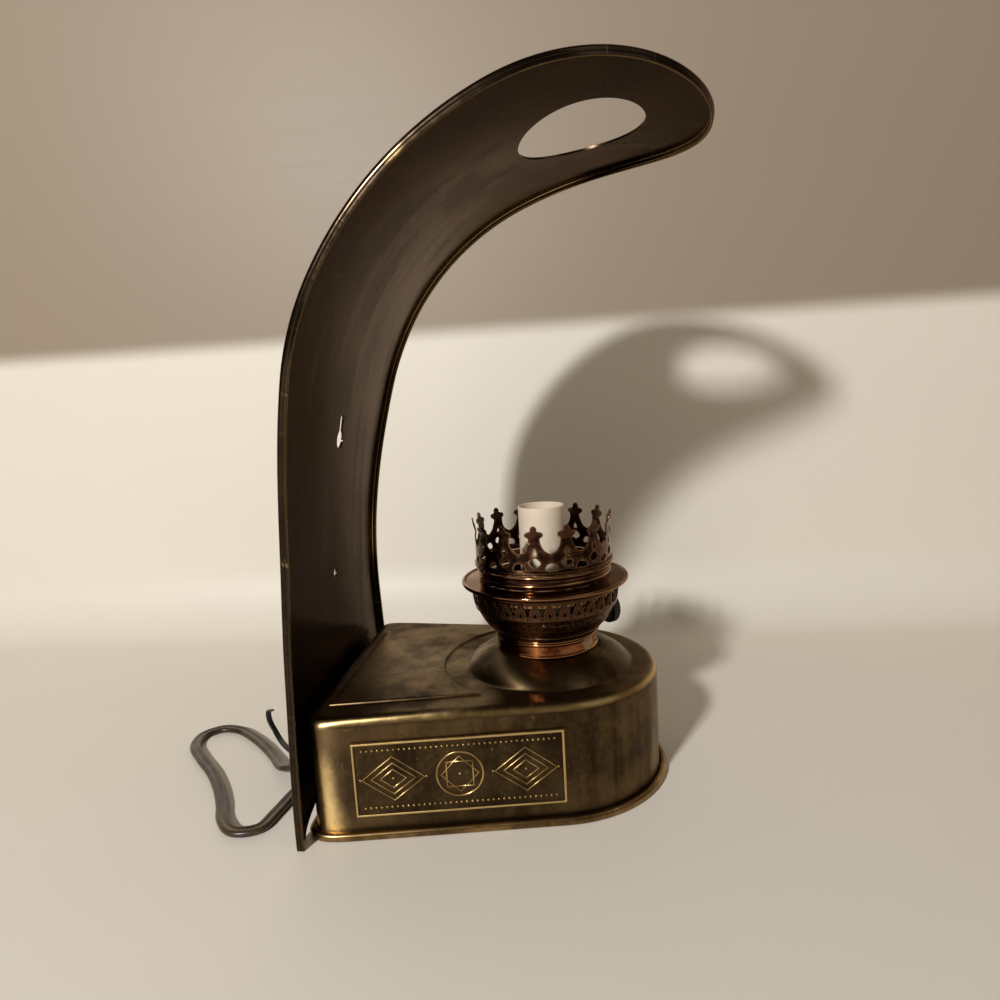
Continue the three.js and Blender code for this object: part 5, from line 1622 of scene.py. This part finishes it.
class LAMP_OT_plug(LampOperator):
    """Moulds the gland and the plug, and ties the flex"""

    bl_idname = "lamp.plug"
    bl_label = "Gland, ties and plug"

    def build(self, context):
        self.gland()
        self.plug()
        self.cord_tie()
        self.coil_tie()
        flex, line, total = FLEX[-1]
        path = [[c * MM for c in p] for p in line]

    def gland(self):
        stations = [(85.5, 5.6, 3.4), (87.1, 5.6, 3.4), (87.1, 4.3, 2.4), (92.6, 4.3, 2.4)]
        for i in range(5):
            y = 93.4 + i * 2.4
            ease = 1 - i * 0.05
            rib, groove = (4.3 * ease, 2.4 * ease), (3.6 * ease, 1.95 * ease + 0.05)
            stations += [(y, *rib), (y + 1.2, *rib), (y + 1.3, *groove), (y + 2.2, *groove)]
        stations += [(105.5, 3.4, 1.9)]
        middle, height = CORD_HOLE
        rings = [[(middle + x, y, height + z) for x, z in oval(a, b, 28, 2.4)] for y, a, b in stations]
        made = mesh_object("ribbed_gland", *skin(rings))
        eased(made, 0.15, angle=40)
        dress(made, "lamp", "black_plastic", "cord_gland")

    def plug(self):
        stations = [(-10, 3.3, 2.2, 2.2)]
        for i in range(4):
            x = -9.4 + i * 2.7
            grow = 1 + 0.1 * i
            rib = ((0, 3.4, 2.3), (1.5, 3.5, 2.4), (1.6, 2.95, 1.95), (2.6, 3.0, 2.0))
            stations += [(x + at, a * grow, b * grow, 2.2) for at, a, b in rib]
        stations += [(1.6, 5.0, 3.9, 2.3), (4.0, 7.6, 5.4, 2.6), (6.5, 11.6, 6.3, 3.0),
                     (8.6, 15.2, 6.7, 3.4), (10.6, 17.1, 6.85, 3.8), (14, 17.6, 6.85, 4.2),
                     (22, 17.65, 6.85, 4.4), (24.6, 17.5, 6.7, 4.4), (25.6, 17.0, 6.3, 4.2),
                     (26, 16.2, 5.6, 4)]
        rings = [[PLUG_AT + Vector((at, -y, z)) for y, z in oval(a, b, 48, power)]
                 for at, a, b, power in stations]
        made = mesh_object("moulded_plug", *skin(rings))
        dress(made, "lamp", "black_plastic", "plug_body", angle=40)
        for i in (1, 2):
            pin = refined(f"plug_pin_{i}", f"plug_pin_{i}_round", 0.25)
            modified(pin, "SUBSURF", levels=1, render_levels=1)
            dress(pin, "lamp", "steel", f"plug_pin_{i}")

    def cord_tie(self):
        corners = ((-0.35, -1.25), (0.35, -1.25), (0.35, 1.25), (-0.35, 1.25))
        rings = []
        for x, z in oval(3.95, 2.65, 40):
            here = Vector((x, 0, z))
            out = here.normalized()
            rings.append([TIE_CENTRE + here + out * a + Vector((0, b, 0)) for a, b in corners])
        band = mesh_object("tie_band", *skin(rings, closed=True))
        head_stations = [(8.0, 1.2, 1.2), (8.15, 1.5, 1.5), (9.4, 1.5, 1.5), (9.6, 1.2, 1.2)]
        head = mesh_object("tie_head", *skin([
            [(TIE_CENTRE.x + x, TIE_CENTRE.y + y, z) for x, y in oval(a, b, 20, 6)]
            for z, a, b in head_stations
        ]))
        line = through(TIE_TAIL, 6)
        section = [(1.2, 0.35), (0.9, 0.5), (-0.9, 0.5), (-1.2, 0.35), (-1.2, -0.35), (-0.9, -0.5),
                   (0.9, -0.5), (1.2, -0.35)]
        tail = drawn("tie_tail", section, line)
        made = joined("black_cord_tie", [band, head, tail])
        eased(made, 0.12, angle=45)
        dress(made, "lamp", "black_plastic", "cord_tie")

    def coil_tie(self):
        low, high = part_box("coil_tie")
        left, right, top = low.x / MM, high.x / MM, high.z / MM
        corner = 2.2
        path = []
        for cx, cz, start in (
            (right - corner, top - corner, 0), (left + corner, top - corner, HALF_TURN / 2),
            (left + corner, corner, HALF_TURN), (right - corner, corner, HALF_TURN * 1.5),
        ):
            path += arc(corner, start, start + HALF_TURN / 2, 8, (cx, cz))
        rings = []
        for i, p in enumerate(path):
            before, after = Vector(path[i - 1]), Vector(path[(i + 1) % len(path)])
            along = (after - before).normalized()
            inwards = Vector((-along.y, along.x))
            here = Vector(p)
            ring = []
            for depth, y in ((0, -2), (0.6, -2), (0.6, 2), (0, 2)):
                at = here + inwards * depth
                ring.append((at.x, COIL_CENTRE[1] + y, at.y))
            rings.append(ring)
        made = mesh_object("coil_strap", *skin(rings, closed=True))
        eased(made, 0.12, angle=45)
        dress(made, "lamp", "black_plastic", "coil_tie")


class LAMP_PT_pieces(bpy.types.Panel):
    """Lists the lamp's pieces"""

    bl_label = "Brass Lamp"
    bl_space_type = "VIEW_3D"
    bl_region_type = "UI"
    bl_category = "Lamp"

    def draw(self, context):
        column = self.layout.column()
        for group in (context.scene.lamp_stage, context.scene.lamp_sizes, context.scene.lamp_colours):
            for name in group.bl_rna.properties.keys():
                if name not in ("rna_type", "name"):
                    column.prop(group, name)
        for operator in PIECES:
            column.operator(operator.bl_idname)


PIECES = (
    LAMP_OT_stage, LAMP_OT_flex, LAMP_OT_plate, LAMP_OT_reservoir, LAMP_OT_panels,
    LAMP_OT_fasteners, LAMP_OT_burner, LAMP_OT_gallery, LAMP_OT_candle, LAMP_OT_knob,
    LAMP_OT_leads, LAMP_OT_plug,
)
GROUPS = {"lamp_sizes": LampSizes, "lamp_colours": LampColours, "lamp_stage": LampStage}


def register():
    for group in (*GROUPS.values(), *PIECES, LAMP_PT_pieces):
        bpy.utils.register_class(group)
    for name, group in GROUPS.items():
        setattr(bpy.types.Scene, name, bpy.props.PointerProperty(type=group))


def unregister():
    for name in GROUPS:
        delattr(bpy.types.Scene, name)
    for group in reversed((*GROUPS.values(), *PIECES, LAMP_PT_pieces)):
        bpy.utils.unregister_class(group)


def main():
    register()
    for operator in PIECES:
        family, name = operator.bl_idname.split(".")
        getattr(getattr(bpy.ops, family), name)()


if __name__ == "__main__":
    main()
